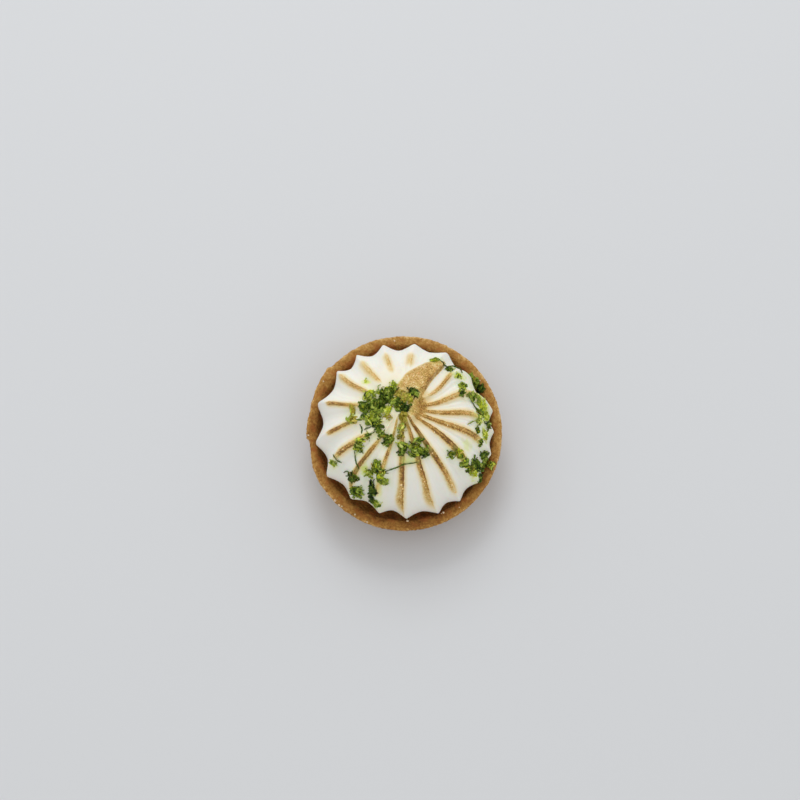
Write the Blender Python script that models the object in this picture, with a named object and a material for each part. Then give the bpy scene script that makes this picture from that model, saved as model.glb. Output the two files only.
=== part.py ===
"""Lemon mint tartlet: a baked sweet pastry case, a piped meringue dome of eighteen ridges whose last tail is
laid over to the upper right, and finely shredded mint and lime zest scattered over the dome.

Sizes are in millimetres and become metres where a mesh is made. +X is the tartlet's right and +Y its far side
as it is looked down on, +Z is up, and the origin is the middle of the flat underside."""

import math
import random

import bmesh
import bpy
from mathutils import Vector, noise
from mathutils.bvhtree import BVHTree

MM = 0.001

# Pastry case: slightly oval, wider at the rim than at the foot, with a shallow well that holds the dome.
RIM_HALF_X = 40.2
RIM_HALF_Y = 41.2
RIM_HEIGHT = 20.0
FOOT_INSET = 5.6
FOOT_ROUND = 0.9
WALL_THICKNESS = 4.4
WALL_RING_HEIGHTS = (6.0, 11.5)
CROWN_ROUND = 0.9
CROWN_DIP = 0.2
WELL_FLOOR = 14.8
WELL_INSET = 2.6
CASE_COLUMNS = 96

# The crust's relief: how deep it is, and how many bumps a millimetre its coarse crumb and its finer grain have.
CRAG_DEPTH = 0.25
COARSE_CRUMB = 0.45
FINE_GRAIN = 1.3

# The rim's uneven edge, as (angle, how far it stands out): a lip of dough pressed out at the upper left, a flake
# on the left, and a piece broken away below the flake.
RIM_EDGE = (
    (0.0, 0.0),
    (95.0, 0.0),
    (137.0, 0.4),
    (139.0, 1.4),
    (150.0, 0.7),
    (166.0, -0.3),
    (170.0, -0.4),
    (171.5, 0.0),
    (184.0, 0.0),
    (185.5, -1.5),
    (192.0, -1.1),
    (202.0, 0.0),
    (360.0, 0.0),
)
LIP_THICKNESS = 3.0
LIP_BLEND = 0.7

# Meringue dome, from the tips of its ridges up to its top, which leans a little up and left.
DOME_CENTRE = (0.2, 0.5)
DOME_TOP_CENTRE = (-1.6, 3.8)
TIP_HEIGHT = 20.7
DOME_HEIGHT = 46.5
SIDE_FULLNESS = 2.3
TOP_FULLNESS = 1.75
CREST_ROUNDING = 0.07
HOLLOW_POWER = 2.0
HOLLOW_FADE_POWER = 0.75
DOME_ROWS = 13
DOME_ROW_SPACING = 0.92
COLUMNS_PER_RIDGE = ((0.5, 6), (0.17, 3), (0.0, 1))

# The skirt under the tips, as (how far in, how high), from where it is seated in the well up to the tips.
SEAT_GAP = 0.3
SKIRT = (
    (5.2, WELL_FLOOR + SEAT_GAP),
    (3.2, WELL_FLOOR + SEAT_GAP + 2.4),
    (1.35, TIP_HEIGHT - 0.7),
)

# Each ridge as piped: angle of its tip, reach of its tip from the dome's centre, how far it leans anticlockwise
# (degrees) a third and two thirds of the way in, and the depth of the hollow after it.
RIDGES = (
    (359.2, 36.4, 6.0, -9.0, 2.0),
    (373.1, 36.9, 11.5, -11.0, 2.6),
    (399.8, 35.5, 7.5, -18.5, 2.2),
    (420.8, 37.3, -1.0, -6.0, 2.4),
    (442.9, 36.7, 0.0, -3.0, 3.2),
    (463.8, 37.0, 2.0, -2.0, 3.2),
    (482.5, 37.2, 3.5, 3.0, 3.3),
    (499.1, 37.2, 6.0, 9.0, 3.4),
    (523.7, 37.0, 4.5, 7.0, 3.5),
    (549.3, 37.0, 3.0, 1.0, 3.2),
    (571.6, 37.0, -3.5, 10.0, 2.7),
    (593.1, 36.0, -4.5, 6.5, 2.5),
    (613.6, 36.1, -4.0, 4.5, 2.7),
    (631.3, 37.4, -2.0, 3.0, 2.5),
    (651.9, 37.2, -3.5, 1.0, 2.4),
    (667.5, 37.1, 0.0, -1.0, 2.2),
    (684.9, 37.3, 1.0, 3.0, 1.6),
    (704.5, 36.7, 3.0, -5.0, 1.5),
)
FULL_TURN_DEG = 360.0
# Makes each lean whole where it is given, a third and two thirds of the way in.
LEAN_SCALE = 27.0 / 4.0

# The tail: the last ridge widens towards the top and is laid over as a comma, smooth on top, steep on its right.
TAIL_ROOT = (0.2, 2.6)
TAIL_BEND = (0.7, 14.6)
TAIL_TIP = (16.2, 25.6)
TAIL_HALF_WIDTH = 5.6
TAIL_ROUNDNESS = 2.2
TAIL_LIFT = 2.3
TAIL_LIFT_FADE = 0.6
TAIL_STEEP_EDGE = (0.7, 1.15)
TAIL_GENTLE_EDGE = (0.35, 1.55)
TAIL_STEPS = 24

# Smooth shoulder beside the tail, where the nozzle wiped the ridges flat.
SHOULDER_CENTRE = (-6.5, 16.5)
SHOULDER_RADIUS = 10.0
SHOULDER_CORE = 0.35

# Heaps of shredded mint and zest: middle, half size across and along, and the number of shreds in each.
HEAPS = (
    (-9.0, 7.6, 5.0, 2.6, 6),
    (-13.0, 1.4, 3.8, 4.2, 6),
    (-8.8, -5.4, 0.8, 2.2, 1),
    (-6.3, -10.4, 1.4, 2.6, 4),
    (-0.8, 7.0, 2.8, 1.8, 3),
    (1.0, 2.9, 2.2, 1.4, 3),
    (0.2, -2.0, 0.5, 1.8, 1),
    (-1.4, -7.0, 0.5, 1.8, 1),
    (4.1, 9.4, 0.8, 1.6, 1),
    (3.4, -13.4, 4.6, 2.6, 5),
    (-11.6, -21.5, 2.0, 3.2, 4),
    (-12.6, -28.6, 0.5, 3.2, 3),
    (-18.8, -26.2, 2.8, 1.4, 3),
    (-21.6, -21.4, 1.2, 1.2, 2),
    (-17.8, -10.4, 0.5, 1.4, 1),
    (-20.6, 1.0, 0.5, 2.2, 1),
    (-28.4, -14.8, 0.8, 1.4, 1),
    (19.2, 21.4, 2.4, 1.0, 2),
    (29.0, 16.4, 1.4, 1.8, 2),
    (23.4, 12.2, 0.6, 1.6, 2),
    (32.4, 6.6, 0.5, 2.6, 2),
    (32.6, -6.0, 0.4, 1.8, 1),
    (18.9, -13.7, 1.4, 0.8, 1),
    (26.8, -16.6, 3.2, 3.2, 5),
)
TRIES_PER_SHRED = 12

# Single long strands, by the places that they pass.
STRANDS = (
    ((-8.4, -22.6), (-4.4, -21.6), (0.0, -19.8), (4.6, -18.4)),
    ((15.0, 24.6), (18.4, 23.0), (21.2, 22.4)),
    ((-15.9, -8.8), (-13.0, -6.8), (-10.8, -5.2)),
    ((27.4, -2.0), (30.0, -0.4), (30.6, -3.6)),
)

SHRED_LENGTH = (4.6, 7.6)
SHRED_WIDTH = (1.3, 2.1)
SHRED_THICKNESS = 0.7
SHRED_SEGMENTS = 4
SHRED_ARCH = (0.85, 1.45)
SHRED_SINK = 0.5
SHRED_END_TAPER = 0.55
SHRED_ROLL_DEG = 24.0
SHRED_CURL_DEG = 34.0
ROLL_WAVES = 2.4
STRAND_WIDTH = 0.9
STRAND_ARCH = 0.85
STRAND_ROLL_DEG = 12.0
STRAND_SEGMENTS = 7
RIM_CLEARANCE = 2.6
ABOVE_THE_DOME = 90.0
GARNISH_SEED = 18

PASTRY_COLOUR = (0.40, 0.19, 0.055, 1.0)
MERINGUE_COLOUR = (0.86, 0.84, 0.80, 1.0)


def clear_scene():
    """Empties the scene, so that only the tartlet is in it."""
    for thing in list(bpy.data.objects):
        bpy.data.objects.remove(thing, do_unlink=True)


def plain_material(name, colour, roughness):
    """A matte Principled material."""
    material = bpy.data.materials.new(name)
    material.use_nodes = True
    shader = material.node_tree.nodes["Principled BSDF"]
    shader.inputs["Base Color"].default_value = colour
    shader.inputs["Roughness"].default_value = roughness
    shader.inputs["Metallic"].default_value = 0.0
    return material


def object_from(name, bm, material, sharp_deg=50.0):
    """Turns a bmesh in millimetres into an object in metres, shaded smooth but for its sharp edges."""
    bmesh.ops.scale(bm, vec=(MM, MM, MM), verts=bm.verts)
    mesh = bpy.data.meshes.new(name)
    bm.to_mesh(mesh)
    bm.free()
    mesh.shade_smooth()
    mesh.set_sharp_from_angle(angle=math.radians(sharp_deg))
    mesh.materials.append(material)
    thing = bpy.data.objects.new(name, mesh)
    bpy.context.scene.collection.objects.link(thing)
    return thing


def smooth_step(low, high, value):
    """0 up to low, 1 from high, and an even curve between."""
    share = min(max((value - low) / (high - low), 0.0), 1.0)
    return share * share * (3.0 - 2.0 * share)


def join_rings(bm, lower, upper):
    """Triangles between two rings, where the upper one may have a whole fraction of the lower one's points."""
    ratio = len(lower) // len(upper)
    for i in range(len(upper)):
        left, right = upper[i], upper[(i + 1) % len(upper)]
        turn_over = (ratio + 1) // 2
        for step in range(ratio):
            near = lower[i * ratio + step]
            far = lower[(i * ratio + step + 1) % len(lower)]
            bm.faces.new((near, far, left if step < turn_over else right))
        bm.faces.new((lower[(i * ratio + turn_over) % len(lower)], right, left))


def stack_rings(bm, rings, first_centre, last_centre):
    """Joins rings into a closed body, with a fan at its first and at its last ring."""
    loops = [[bm.verts.new(point) for point in ring] for ring in rings]
    for lower, upper in zip(loops, loops[1:]):
        join_rings(bm, lower, upper)
    for centre, loop, outward in ((first_centre, loops[0], -1), (last_centre, loops[-1], 1)):
        hub = bm.verts.new(centre)
        for i in range(len(loop)):
            pair = (loop[i], loop[(i + 1) % len(loop)])
            bm.faces.new((hub, *pair[::outward]))


def edge_reach(angle_deg):
    """How far the rim's edge stands out, or in, at an angle."""
    for (start, first), (end, second) in zip(RIM_EDGE, RIM_EDGE[1:]):
        if angle_deg <= end:
            return first + (second - first) * (angle_deg - start) / (end - start)


def case_section(angle_deg):
    """The case's section at an angle, as (radius, height), from the underside over the rim to the well's floor."""
    angle = math.radians(angle_deg)
    rim = RIM_HALF_X * RIM_HALF_Y / math.hypot(RIM_HALF_Y * math.cos(angle), RIM_HALF_X * math.sin(angle))
    outer = rim + edge_reach(angle_deg)
    inner = rim - WALL_THICKNESS
    below_lip = RIM_HEIGHT - LIP_THICKNESS - LIP_BLEND
    lip_corner = RIM_HEIGHT - LIP_THICKNESS + LIP_BLEND

    def wall(height):
        return rim - FOOT_INSET * (1.0 - height / RIM_HEIGHT)

    foot = [(wall(0.0) - FOOT_ROUND, 0.0), (wall(FOOT_ROUND), FOOT_ROUND)]
    side = [(wall(height), height) for height in (*WALL_RING_HEIGHTS, below_lip)]
    lip = [(wall(lip_corner) + outer - rim, lip_corner), (outer, RIM_HEIGHT - CROWN_ROUND)]
    crown = [(outer - 0.8 * CROWN_ROUND, RIM_HEIGHT), (rim - 0.65 * WALL_THICKNESS, RIM_HEIGHT - CROWN_DIP)]
    well = [
        (inner, RIM_HEIGHT - 1.2 * CROWN_ROUND),
        (inner - 0.3 * WELL_INSET, RIM_HEIGHT - 3.0 * CROWN_ROUND),
        (inner - WELL_INSET, WELL_FLOOR),
    ]
    return foot + side + lip + crown + well


def crag(point):
    """How far a place of the crust stands out, or in, from its coarse crumb and finer grain."""
    return CRAG_DEPTH * (noise.noise(point * COARSE_CRUMB) + noise.noise(point * FINE_GRAIN))


def pastry_case(material):
    """The baked case: solid below its well, with a granular rim and wall."""
    bm = bmesh.new()
    angles = [FULL_TURN_DEG * i / CASE_COLUMNS for i in range(CASE_COLUMNS)]
    sections = [case_section(angle) for angle in angles]
    last = len(sections[0]) - 1
    rings = []
    for row in range(last + 1):
        ring = []
        for angle_deg, section in zip(angles, sections):
            radius, height = section[row]
            angle = math.radians(angle_deg)
            point = Vector((radius * math.cos(angle), radius * math.sin(angle), height))
            if 0 < row < last:
                push = crag(point)
                point += Vector((math.cos(angle), math.sin(angle), 0.0)) * push
                point.z -= 0.5 * abs(push) if height > RIM_HEIGHT - CROWN_ROUND else 0.0
            ring.append(point)
        rings.append(ring)
    stack_rings(bm, rings, Vector((0.0, 0.0, 0.0)), Vector((0.0, 0.0, WELL_FLOOR)))
    return object_from("pastry_case", bm, material)


def ridge_lean(ridge, inward):
    """Degrees that a ridge has leant by a share of its way in: none at the tip, none at the top."""
    outer, inner = ridge[2], ridge[3]
    return LEAN_SCALE * (outer * inward * (1.0 - inward) ** 2 + inner * inward**2 * (1.0 - inward))


def tail_points():
    """The tail's middle line on plan, with the half width there."""
    points = []
    for step in range(TAIL_STEPS + 1):
        s = step / TAIL_STEPS
        x = (1 - s) ** 2 * TAIL_ROOT[0] + 2 * s * (1 - s) * TAIL_BEND[0] + s * s * TAIL_TIP[0]
        y = (1 - s) ** 2 * TAIL_ROOT[1] + 2 * s * (1 - s) * TAIL_BEND[1] + s * s * TAIL_TIP[1]
        points.append((x, y, TAIL_HALF_WIDTH * math.sqrt(max(1.0 - s**TAIL_ROUNDNESS, 0.0)), s))
    return points


TAIL_LINE = tail_points()


def tail_cover(x, y):
    """How much of the tail lies over a place on plan, from 0 to 1, and how far along the tail that is."""
    best = None
    for (x0, y0, w0, s0), (x1, y1, w1, s1) in zip(TAIL_LINE, TAIL_LINE[1:]):
        dx, dy = x1 - x0, y1 - y0
        share = ((x - x0) * dx + (y - y0) * dy) / (dx * dx + dy * dy)
        share = min(max(share, 0.0), 1.0)
        off_x, off_y = x - x0 - share * dx, y - y0 - share * dy
        away = math.hypot(off_x, off_y)
        if best is None or away < best[0]:
            right_side = dx * off_y - dy * off_x < 0
            best = (away, w0 + share * (w1 - w0), s0 + share * (s1 - s0), right_side)
    away, half_width, s, right_side = best
    across = away / max(half_width, 0.6)
    edge = TAIL_STEEP_EDGE if right_side else TAIL_GENTLE_EDGE
    return 1.0 - smooth_step(*edge, across), s


def dome_point(lobe, share, rise):
    """A point of the dome: share of the way from one ridge to the next, and rise from the tips (0) to the top (1)."""
    ridge = RIDGES[lobe]
    following = RIDGES[(lobe + 1) % len(RIDGES)]
    turn = rise * math.pi / 2
    radius = max(math.cos(turn), 0.0) ** (2 / SIDE_FULLNESS)
    height = math.sin(turn) ** (2 / TOP_FULLNESS)
    inward = 1.0 - radius
    start = ridge[0] + ridge_lean(ridge, inward)
    end = following[0] + ridge_lean(following, inward)
    if lobe == len(RIDGES) - 1:
        end += FULL_TURN_DEG
    angle = math.radians(start + share * (end - start))
    reach = ridge[1] + share * (following[1] - ridge[1])
    from_crest = math.hypot(2 * min(share, 1 - share), CREST_ROUNDING) - CREST_ROUNDING
    hollow = ridge[4] * (1.0 - (1.0 - from_crest) ** HOLLOW_POWER) * radius**HOLLOW_FADE_POWER
    centre_x = DOME_CENTRE[0] + (DOME_TOP_CENTRE[0] - DOME_CENTRE[0]) * height
    centre_y = DOME_CENTRE[1] + (DOME_TOP_CENTRE[1] - DOME_CENTRE[1]) * height
    x = centre_x + reach * radius * math.cos(angle)
    y = centre_y + reach * radius * math.sin(angle)
    cover, along = tail_cover(x, y)
    to_shoulder = math.hypot(x - SHOULDER_CENTRE[0], y - SHOULDER_CENTRE[1]) / SHOULDER_RADIUS
    hollow *= (1.0 - cover) * smooth_step(SHOULDER_CORE, 1.0, to_shoulder)
    outward, upward = radius ** (SIDE_FULLNESS - 1), height ** (TOP_FULLNESS - 1)
    size = max(math.hypot(outward, upward), 1e-6)
    x -= hollow * outward / size * math.cos(angle)
    y -= hollow * outward / size * math.sin(angle)
    z = TIP_HEIGHT + (DOME_HEIGHT - TIP_HEIGHT) * height - hollow * upward / size
    return Vector((x, y, z + TAIL_LIFT * cover * (1.0 - along) ** TAIL_LIFT_FADE))


def dome_ring(rise):
    """One level line of the dome, with fewer points the nearer it is to the top."""
    radius = math.cos(rise * math.pi / 2)
    per_ridge = next(count for least, count in COLUMNS_PER_RIDGE if radius >= least)
    return [dome_point(lobe, step / per_ridge, rise) for lobe in range(len(RIDGES)) for step in range(per_ridge)]


def meringue_body(material):
    """The dome with its scalloped skirt tucked under and seated in the well."""
    bm = bmesh.new()
    middle = Vector((DOME_CENTRE[0], DOME_CENTRE[1], 0.0))

    def skirt(point, inset, height):
        flat = Vector((point.x, point.y, 0.0)) - middle
        return middle + flat * (1.0 - inset / flat.length) + Vector((0.0, 0.0, height))

    tips = dome_ring(0.0)
    rings = [[skirt(point, inset, height) for point in tips] for inset, height in SKIRT]
    rings += [dome_ring((row / DOME_ROWS) ** DOME_ROW_SPACING) for row in range(DOME_ROWS)]
    seat_middle = middle + Vector((0.0, 0.0, WELL_FLOOR + SEAT_GAP))
    stack_rings(bm, rings, seat_middle, dome_point(0, 0.0, 1.0))
    return object_from("meringue", bm, material)


def strip_solid(points, normals, width, roll_deg):
    """A thin wavy strip along points: four corners at each, both faces split into triangles alike."""
    bm = bmesh.new()
    loops = []
    for i, (point, normal) in enumerate(zip(points, normals)):
        ahead = points[min(i + 1, len(points) - 1)] - points[max(i - 1, 0)]
        across = normal.cross(ahead).normalized()
        roll = math.radians(roll_deg) * math.sin(ROLL_WAVES * i)
        across = across * math.cos(roll) + normal * math.sin(roll)
        through = ahead.cross(across).normalized()
        taper = SHRED_END_TAPER if i in (0, len(points) - 1) else 1.0
        half = across * width * taper / 2
        thick = through * SHRED_THICKNESS / 2
        corners = (point - half - thick, point + half - thick, point + half + thick, point - half + thick)
        loops.append([bm.verts.new(corner) for corner in corners])
    for back, front in zip(loops, loops[1:]):
        for i in range(4):
            j = (i + 1) % 4
            bm.faces.new((back[i], back[j], front[j]))
            bm.faces.new((back[i], front[j], front[i]))
    first, last = loops[0], loops[-1]
    bm.faces.new((first[2], first[1], first[0]))
    bm.faces.new((first[3], first[2], first[0]))
    bm.faces.new((last[0], last[1], last[2]))
    bm.faces.new((last[0], last[2], last[3]))
    bmesh.ops.recalc_face_normals(bm, faces=bm.faces)
    return bm


def lie_on(surface, places, arch):
    """Drops plan places on the dome: both ends sink in and the rest stands clear. None off the dome."""
    points, normals = [], []
    for i, (x, y) in enumerate(places):
        hit, normal, _, _ = surface.ray_cast(Vector((x, y, ABOVE_THE_DOME)), Vector((0.0, 0.0, -1.0)))
        if hit is None or hit.z < TIP_HEIGHT + RIM_CLEARANCE:
            return None
        lift = -SHRED_SINK if i in (0, len(places) - 1) else arch
        points.append(hit + normal * lift)
        normals.append(normal)
    return points, normals


def shred_places(rng, x, y):
    """A short curling path on plan through a place."""
    length = rng.uniform(*SHRED_LENGTH)
    heading = rng.uniform(0.0, math.pi)
    curl = math.radians(rng.uniform(-SHRED_CURL_DEG, SHRED_CURL_DEG))
    step = length / SHRED_SEGMENTS
    place = Vector((x - 0.5 * length * math.cos(heading), y - 0.5 * length * math.sin(heading)))
    places = [tuple(place)]
    for i in range(SHRED_SEGMENTS):
        way = heading + curl * (i - SHRED_SEGMENTS / 2)
        place = place + Vector((math.cos(way), math.sin(way))) * step
        places.append(tuple(place))
    return places


def strand_places(route):
    """Evenly spaced places along a strand's route."""
    places = []
    for i in range(STRAND_SEGMENTS + 1):
        along = i / STRAND_SEGMENTS * (len(route) - 1)
        leg = min(int(along), len(route) - 2)
        share = along - leg
        (x0, y0), (x1, y1) = route[leg], route[leg + 1]
        places.append((x0 + share * (x1 - x0), y0 + share * (y1 - y0)))
    return places


def garnish_strips(surface):
    """Every shred and strand as its own closed strip, largest heaps first."""
    rng = random.Random(GARNISH_SEED)
    strips = []
    for x, y, half_x, half_y, count in sorted(HEAPS, key=lambda heap: -heap[4]):
        for _ in range(count):
            laid = None
            for _ in range(TRIES_PER_SHRED):
                spot_x = x + half_x * rng.uniform(-1.0, 1.0)
                spot_y = y + half_y * rng.uniform(-1.0, 1.0)
                laid = lie_on(surface, shred_places(rng, spot_x, spot_y), rng.uniform(*SHRED_ARCH))
                if laid:
                    break
            if laid:
                strips.append(strip_solid(*laid, rng.uniform(*SHRED_WIDTH), SHRED_ROLL_DEG))
    for route in STRANDS:
        laid = lie_on(surface, strand_places(route), STRAND_ARCH)
        if laid:
            strips.append(strip_solid(*laid, STRAND_WIDTH, STRAND_ROLL_DEG))
    return strips


def keep_largest_shell(mesh):
    """Fills the small hollows that strips close off and drops loose scraps: only the largest shell stays.
    A shell ends where more than two faces share an edge, as a scrap that touches the rest along an edge does."""
    bm = bmesh.new()
    bm.from_mesh(mesh)
    shells = []
    waiting = set(bm.faces)
    while waiting:
        start = waiting.pop()
        shell, border = {start}, [start]
        while border:
            face = border.pop()
            inner_edges = [edge for edge in face.edges if len(edge.link_faces) == 2]
            found = {near for edge in inner_edges for near in edge.link_faces} & waiting
            waiting -= found
            shell |= found
            border.extend(found)
        shells.append(shell)
    shells.sort(key=len, reverse=True)
    extra = [face for shell in shells[1:] for face in shell]
    bmesh.ops.delete(bm, geom=extra, context="FACES")
    bm.to_mesh(mesh)
    bm.free()


def fuse_garnish(meringue, material):
    """Joins the strips to the dome that they lie on, as one body. The manifold solver is the one that leaves
    neither an open edge nor an edge shared by four faces where so many thin strips cross."""
    bm = bmesh.new()
    bm.from_mesh(meringue.data)
    bmesh.ops.scale(bm, vec=(1 / MM, 1 / MM, 1 / MM), verts=bm.verts)
    surface = BVHTree.FromBMesh(bm)
    bm.free()
    heap = bpy.data.collections.new("garnish")
    bpy.context.scene.collection.children.link(heap)
    for i, strip in enumerate(garnish_strips(surface)):
        shred = object_from(f"shred_{i:02d}", strip, material)
        bpy.context.scene.collection.objects.unlink(shred)
        heap.objects.link(shred)
    union = meringue.modifiers.new("garnish", "BOOLEAN")
    union.operation = "UNION"
    union.operand_type = "COLLECTION"
    union.collection = heap
    union.solver = "MANIFOLD"
    graph = bpy.context.evaluated_depsgraph_get()
    fused = bpy.data.meshes.new_from_object(meringue.evaluated_get(graph))
    keep_largest_shell(fused)
    meringue.modifiers.clear()
    meringue.data = fused
    for shred in list(heap.objects):
        bpy.data.objects.remove(shred, do_unlink=True)
    bpy.data.collections.remove(heap)


def build():
    """The pastry case and the garnished meringue seated in it."""
    clear_scene()
    pastry = plain_material("baked_pastry", PASTRY_COLOUR, 0.85)
    meringue_white = plain_material("meringue_white", MERINGUE_COLOUR, 0.55)
    pastry_case(pastry)
    meringue = meringue_body(meringue_white)
    fuse_garnish(meringue, meringue_white)


build()
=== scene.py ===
# %% [markdown]
# # A lemon mint tartlet
# A baked sweet pastry case holds a piped meringue dome whose ridges were browned with a flame, and finely
# shredded mint and lime zest is scattered over it. The solid model gives the true form; this lesson dresses
# it. The dome and the case are made again with the same named sizes on much finer meshes, because browning,
# bubbles and biscuit grain need small faces. All sizes are in millimetres until a mesh is made, which is in
# metres.

# %% Load the solid model
import math

import bpy
import numpy as np
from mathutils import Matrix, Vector, noise
from mathutils.bvhtree import BVHTree


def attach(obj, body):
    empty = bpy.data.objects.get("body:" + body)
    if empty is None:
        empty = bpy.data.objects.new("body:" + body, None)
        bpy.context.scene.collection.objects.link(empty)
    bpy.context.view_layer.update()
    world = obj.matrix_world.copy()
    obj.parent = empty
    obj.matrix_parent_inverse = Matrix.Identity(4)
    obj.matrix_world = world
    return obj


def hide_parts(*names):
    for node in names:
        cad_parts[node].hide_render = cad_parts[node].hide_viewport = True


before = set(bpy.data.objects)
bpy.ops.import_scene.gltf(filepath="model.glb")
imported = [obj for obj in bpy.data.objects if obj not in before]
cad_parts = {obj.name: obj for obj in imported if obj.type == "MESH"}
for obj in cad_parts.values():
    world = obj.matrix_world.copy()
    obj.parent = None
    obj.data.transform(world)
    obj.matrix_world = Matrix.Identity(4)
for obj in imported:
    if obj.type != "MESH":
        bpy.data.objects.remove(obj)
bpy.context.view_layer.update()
MM = 0.001

# %% [markdown]
# ## Camera
# The tartlet is looked down on steeply from its near side, and from far away, so that its far and near edges
# are almost the same size. A long lens at a distance gives that. The camera looks a little past the middle,
# because the tartlet stands below and right of the picture's own middle.

# %% Camera
CAMERA_HEIGHT_DEG = 75.8
CAMERA_DISTANCE = 1.227
LENS_MM = 135.0
MIDDLE_OF_TARTLET = Vector((0.0, 0.0, 0.020))
LOOKED_AT = Vector((-0.0018, 0.0136, 0.020))

scene = bpy.context.scene
lens = bpy.data.cameras.new("camera")
lens.lens = LENS_MM
camera = bpy.data.objects.new("camera", lens)
scene.collection.objects.link(camera)
height = math.radians(CAMERA_HEIGHT_DEG)
camera.location = MIDDLE_OF_TARTLET + CAMERA_DISTANCE * Vector((0.0, -math.cos(height), math.sin(height)))
camera.rotation_euler = (LOOKED_AT - camera.location).to_track_quat("-Z", "Y").to_euler()
scene.camera = camera
print("camera at", [round(v, 3) for v in camera.location])

# %% [markdown]
# ## Shader sums
# A finish is worked out from numbers that change over the surface: how browned a place is, how deep in a
# pore. Such sums could be wired by hand node by node, but they are easier to read as expressions. This small
# class wraps a socket, so that `1 - brown` or `grain * 0.5` adds the Math node for it. Every other node
# comes from one method, which takes its kind, its settings and what goes into its sockets.

# %% A socket that can be added and multiplied
class Value:
    """What one node of a material gives out: a number, a colour or a vector."""

    def __init__(self, tree, socket=None):
        self.tree = tree
        self.socket = socket

    def node(self, kind, settings=None, sockets=None, out=0):
        """Adds a node: first its settings, then values or links into its sockets, by name or number."""
        made = self.tree.nodes.new(kind)
        for name, value in (settings or {}).items():
            if name == "stops":
                put_stops(made.color_ramp, value)
            else:
                setattr(made, name, value)
        for name, value in (sockets or {}).items():
            if isinstance(value, Value):
                self.tree.links.new(value.socket, made.inputs[name])
            else:
                made.inputs[name].default_value = value
        return Value(self.tree, made.outputs[out])

    def math(self, operation, *values):
        return self.node("ShaderNodeMath", {"operation": operation}, dict(enumerate(values)))

    def __add__(self, other):
        return self.math("ADD", self, other)

    __radd__ = __add__

    def __sub__(self, other):
        return self.math("SUBTRACT", self, other)

    def __rsub__(self, other):
        return self.math("SUBTRACT", other, self)

    def __mul__(self, other):
        return self.math("MULTIPLY", self, other)

    __rmul__ = __mul__

    def between(self, low, high):
        """0 up to low, 1 from high, with an even curve between."""
        limits = {"Value": self, "From Min": low, "From Max": high}
        return self.node("ShaderNodeMapRange", {"interpolation_type": "SMOOTHSTEP"}, limits)


def put_stops(ramp, stops):
    """Sets a colour ramp from (place, colour) pairs."""
    while len(ramp.elements) > 1:
        ramp.elements.remove(ramp.elements[-1])
    for i, (place, colour) in enumerate(stops):
        stop = ramp.elements[0] if i == 0 else ramp.elements.new(place)
        stop.position = place
        stop.color = colour


def linear(red, green, blue):
    """A colour as a screen shows it, from 0 to 255, turned by the sRGB curve into Blender's own."""
    parts = [((c / 255 + 0.055) / 1.055) ** 2.4 if c > 10.3 else c / 255 / 12.92 for c in (red, green, blue)]
    return (*parts, 1.0)


# %% Start of a material
def new_finish(name, roughness=0.5, specular=0.5, subsurface=0.0, subsurface_mm=1.0):
    """A Principled material: its shader, and a start for the sums that feed it."""
    finish = bpy.data.materials.new(name)
    finish.use_nodes = True
    shader = finish.node_tree.nodes["Principled BSDF"]
    shader.inputs["Roughness"].default_value = roughness
    shader.inputs["Specular IOR Level"].default_value = specular
    shader.inputs["Subsurface Weight"].default_value = subsurface
    shader.inputs["Subsurface Scale"].default_value = subsurface_mm * MM
    print("material:", name)
    return finish, shader, Value(finish.node_tree)


def feed(shader, name, value):
    """Links a worked-out value into one of the shader's sockets."""
    value.tree.links.new(value.socket, shader.inputs[name])


# %% Patterns that food shares
def places(start):
    """Where a point is on the tartlet, in millimetres, so that a pattern's scale is in bumps a millimetre."""
    where = start.node("ShaderNodeTexCoord", out="Object")
    return start.node("ShaderNodeVectorMath", {"operation": "SCALE"}, {0: where, "Scale": 1 / MM})


def cloud(where, per_mm, detail=2.0):
    """Soft noise from 0 to 1."""
    return where.node("ShaderNodeTexNoise", None, {"Vector": where, "Scale": per_mm, "Detail": detail}, "Fac")


def cells(where, per_mm, feature="F1"):
    """Distance to the nearest of many scattered points: small at the middle of a bubble or grain."""
    sockets = {"Vector": where, "Scale": per_mm}
    return where.node("ShaderNodeTexVoronoi", {"feature": feature}, sockets, "Distance")


def painted(start, name):
    """A number that was worked out for each point of the mesh."""
    return start.node("ShaderNodeAttribute", {"attribute_name": name}, None, "Fac")


# %% Colours and small relief
def ramped(value, stops):
    """A colour picked by a value from a ramp, whose stops give places and colours as a screen shows them."""
    stops = [(place, linear(*colour)) for place, colour in stops]
    return value.node("ShaderNodeValToRGB", {"stops": stops}, {"Fac": value}, "Color")


def mixed(share, first, second):
    """One colour turning into another: a Mix node takes colours at sockets 6 and 7, and gives one at 2."""
    sockets = {0: share, 6: first, 7: second}
    return share.node("ShaderNodeMix", {"data_type": "RGBA"}, sockets, 2)


def raised(shader, heights, depth_mm):
    """Small relief that is too fine for the mesh."""
    sockets = {"Height": heights, "Distance": depth_mm * MM}
    feed(shader, "Normal", heights.node("ShaderNodeBump", None, sockets, "Normal"))


# %% [markdown]
# ## Meshes from grids
# The dome and the case are both stacks of rings, so one helper turns such a stack into a closed skin.
# Another one makes the object, gives it its finish and the numbers painted on its points, and sets it riding
# on the body.

# %% Faces between rings
def ring_quads(rows, columns):
    """Faces between the rings of a stack, each as four point numbers."""
    here = np.arange(rows * columns).reshape(rows, columns)
    beside = np.roll(here, -1, axis=1)
    return np.stack([here[:-1], beside[:-1], beside[1:], here[1:]], axis=-1).reshape(-1, 4).tolist()


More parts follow.
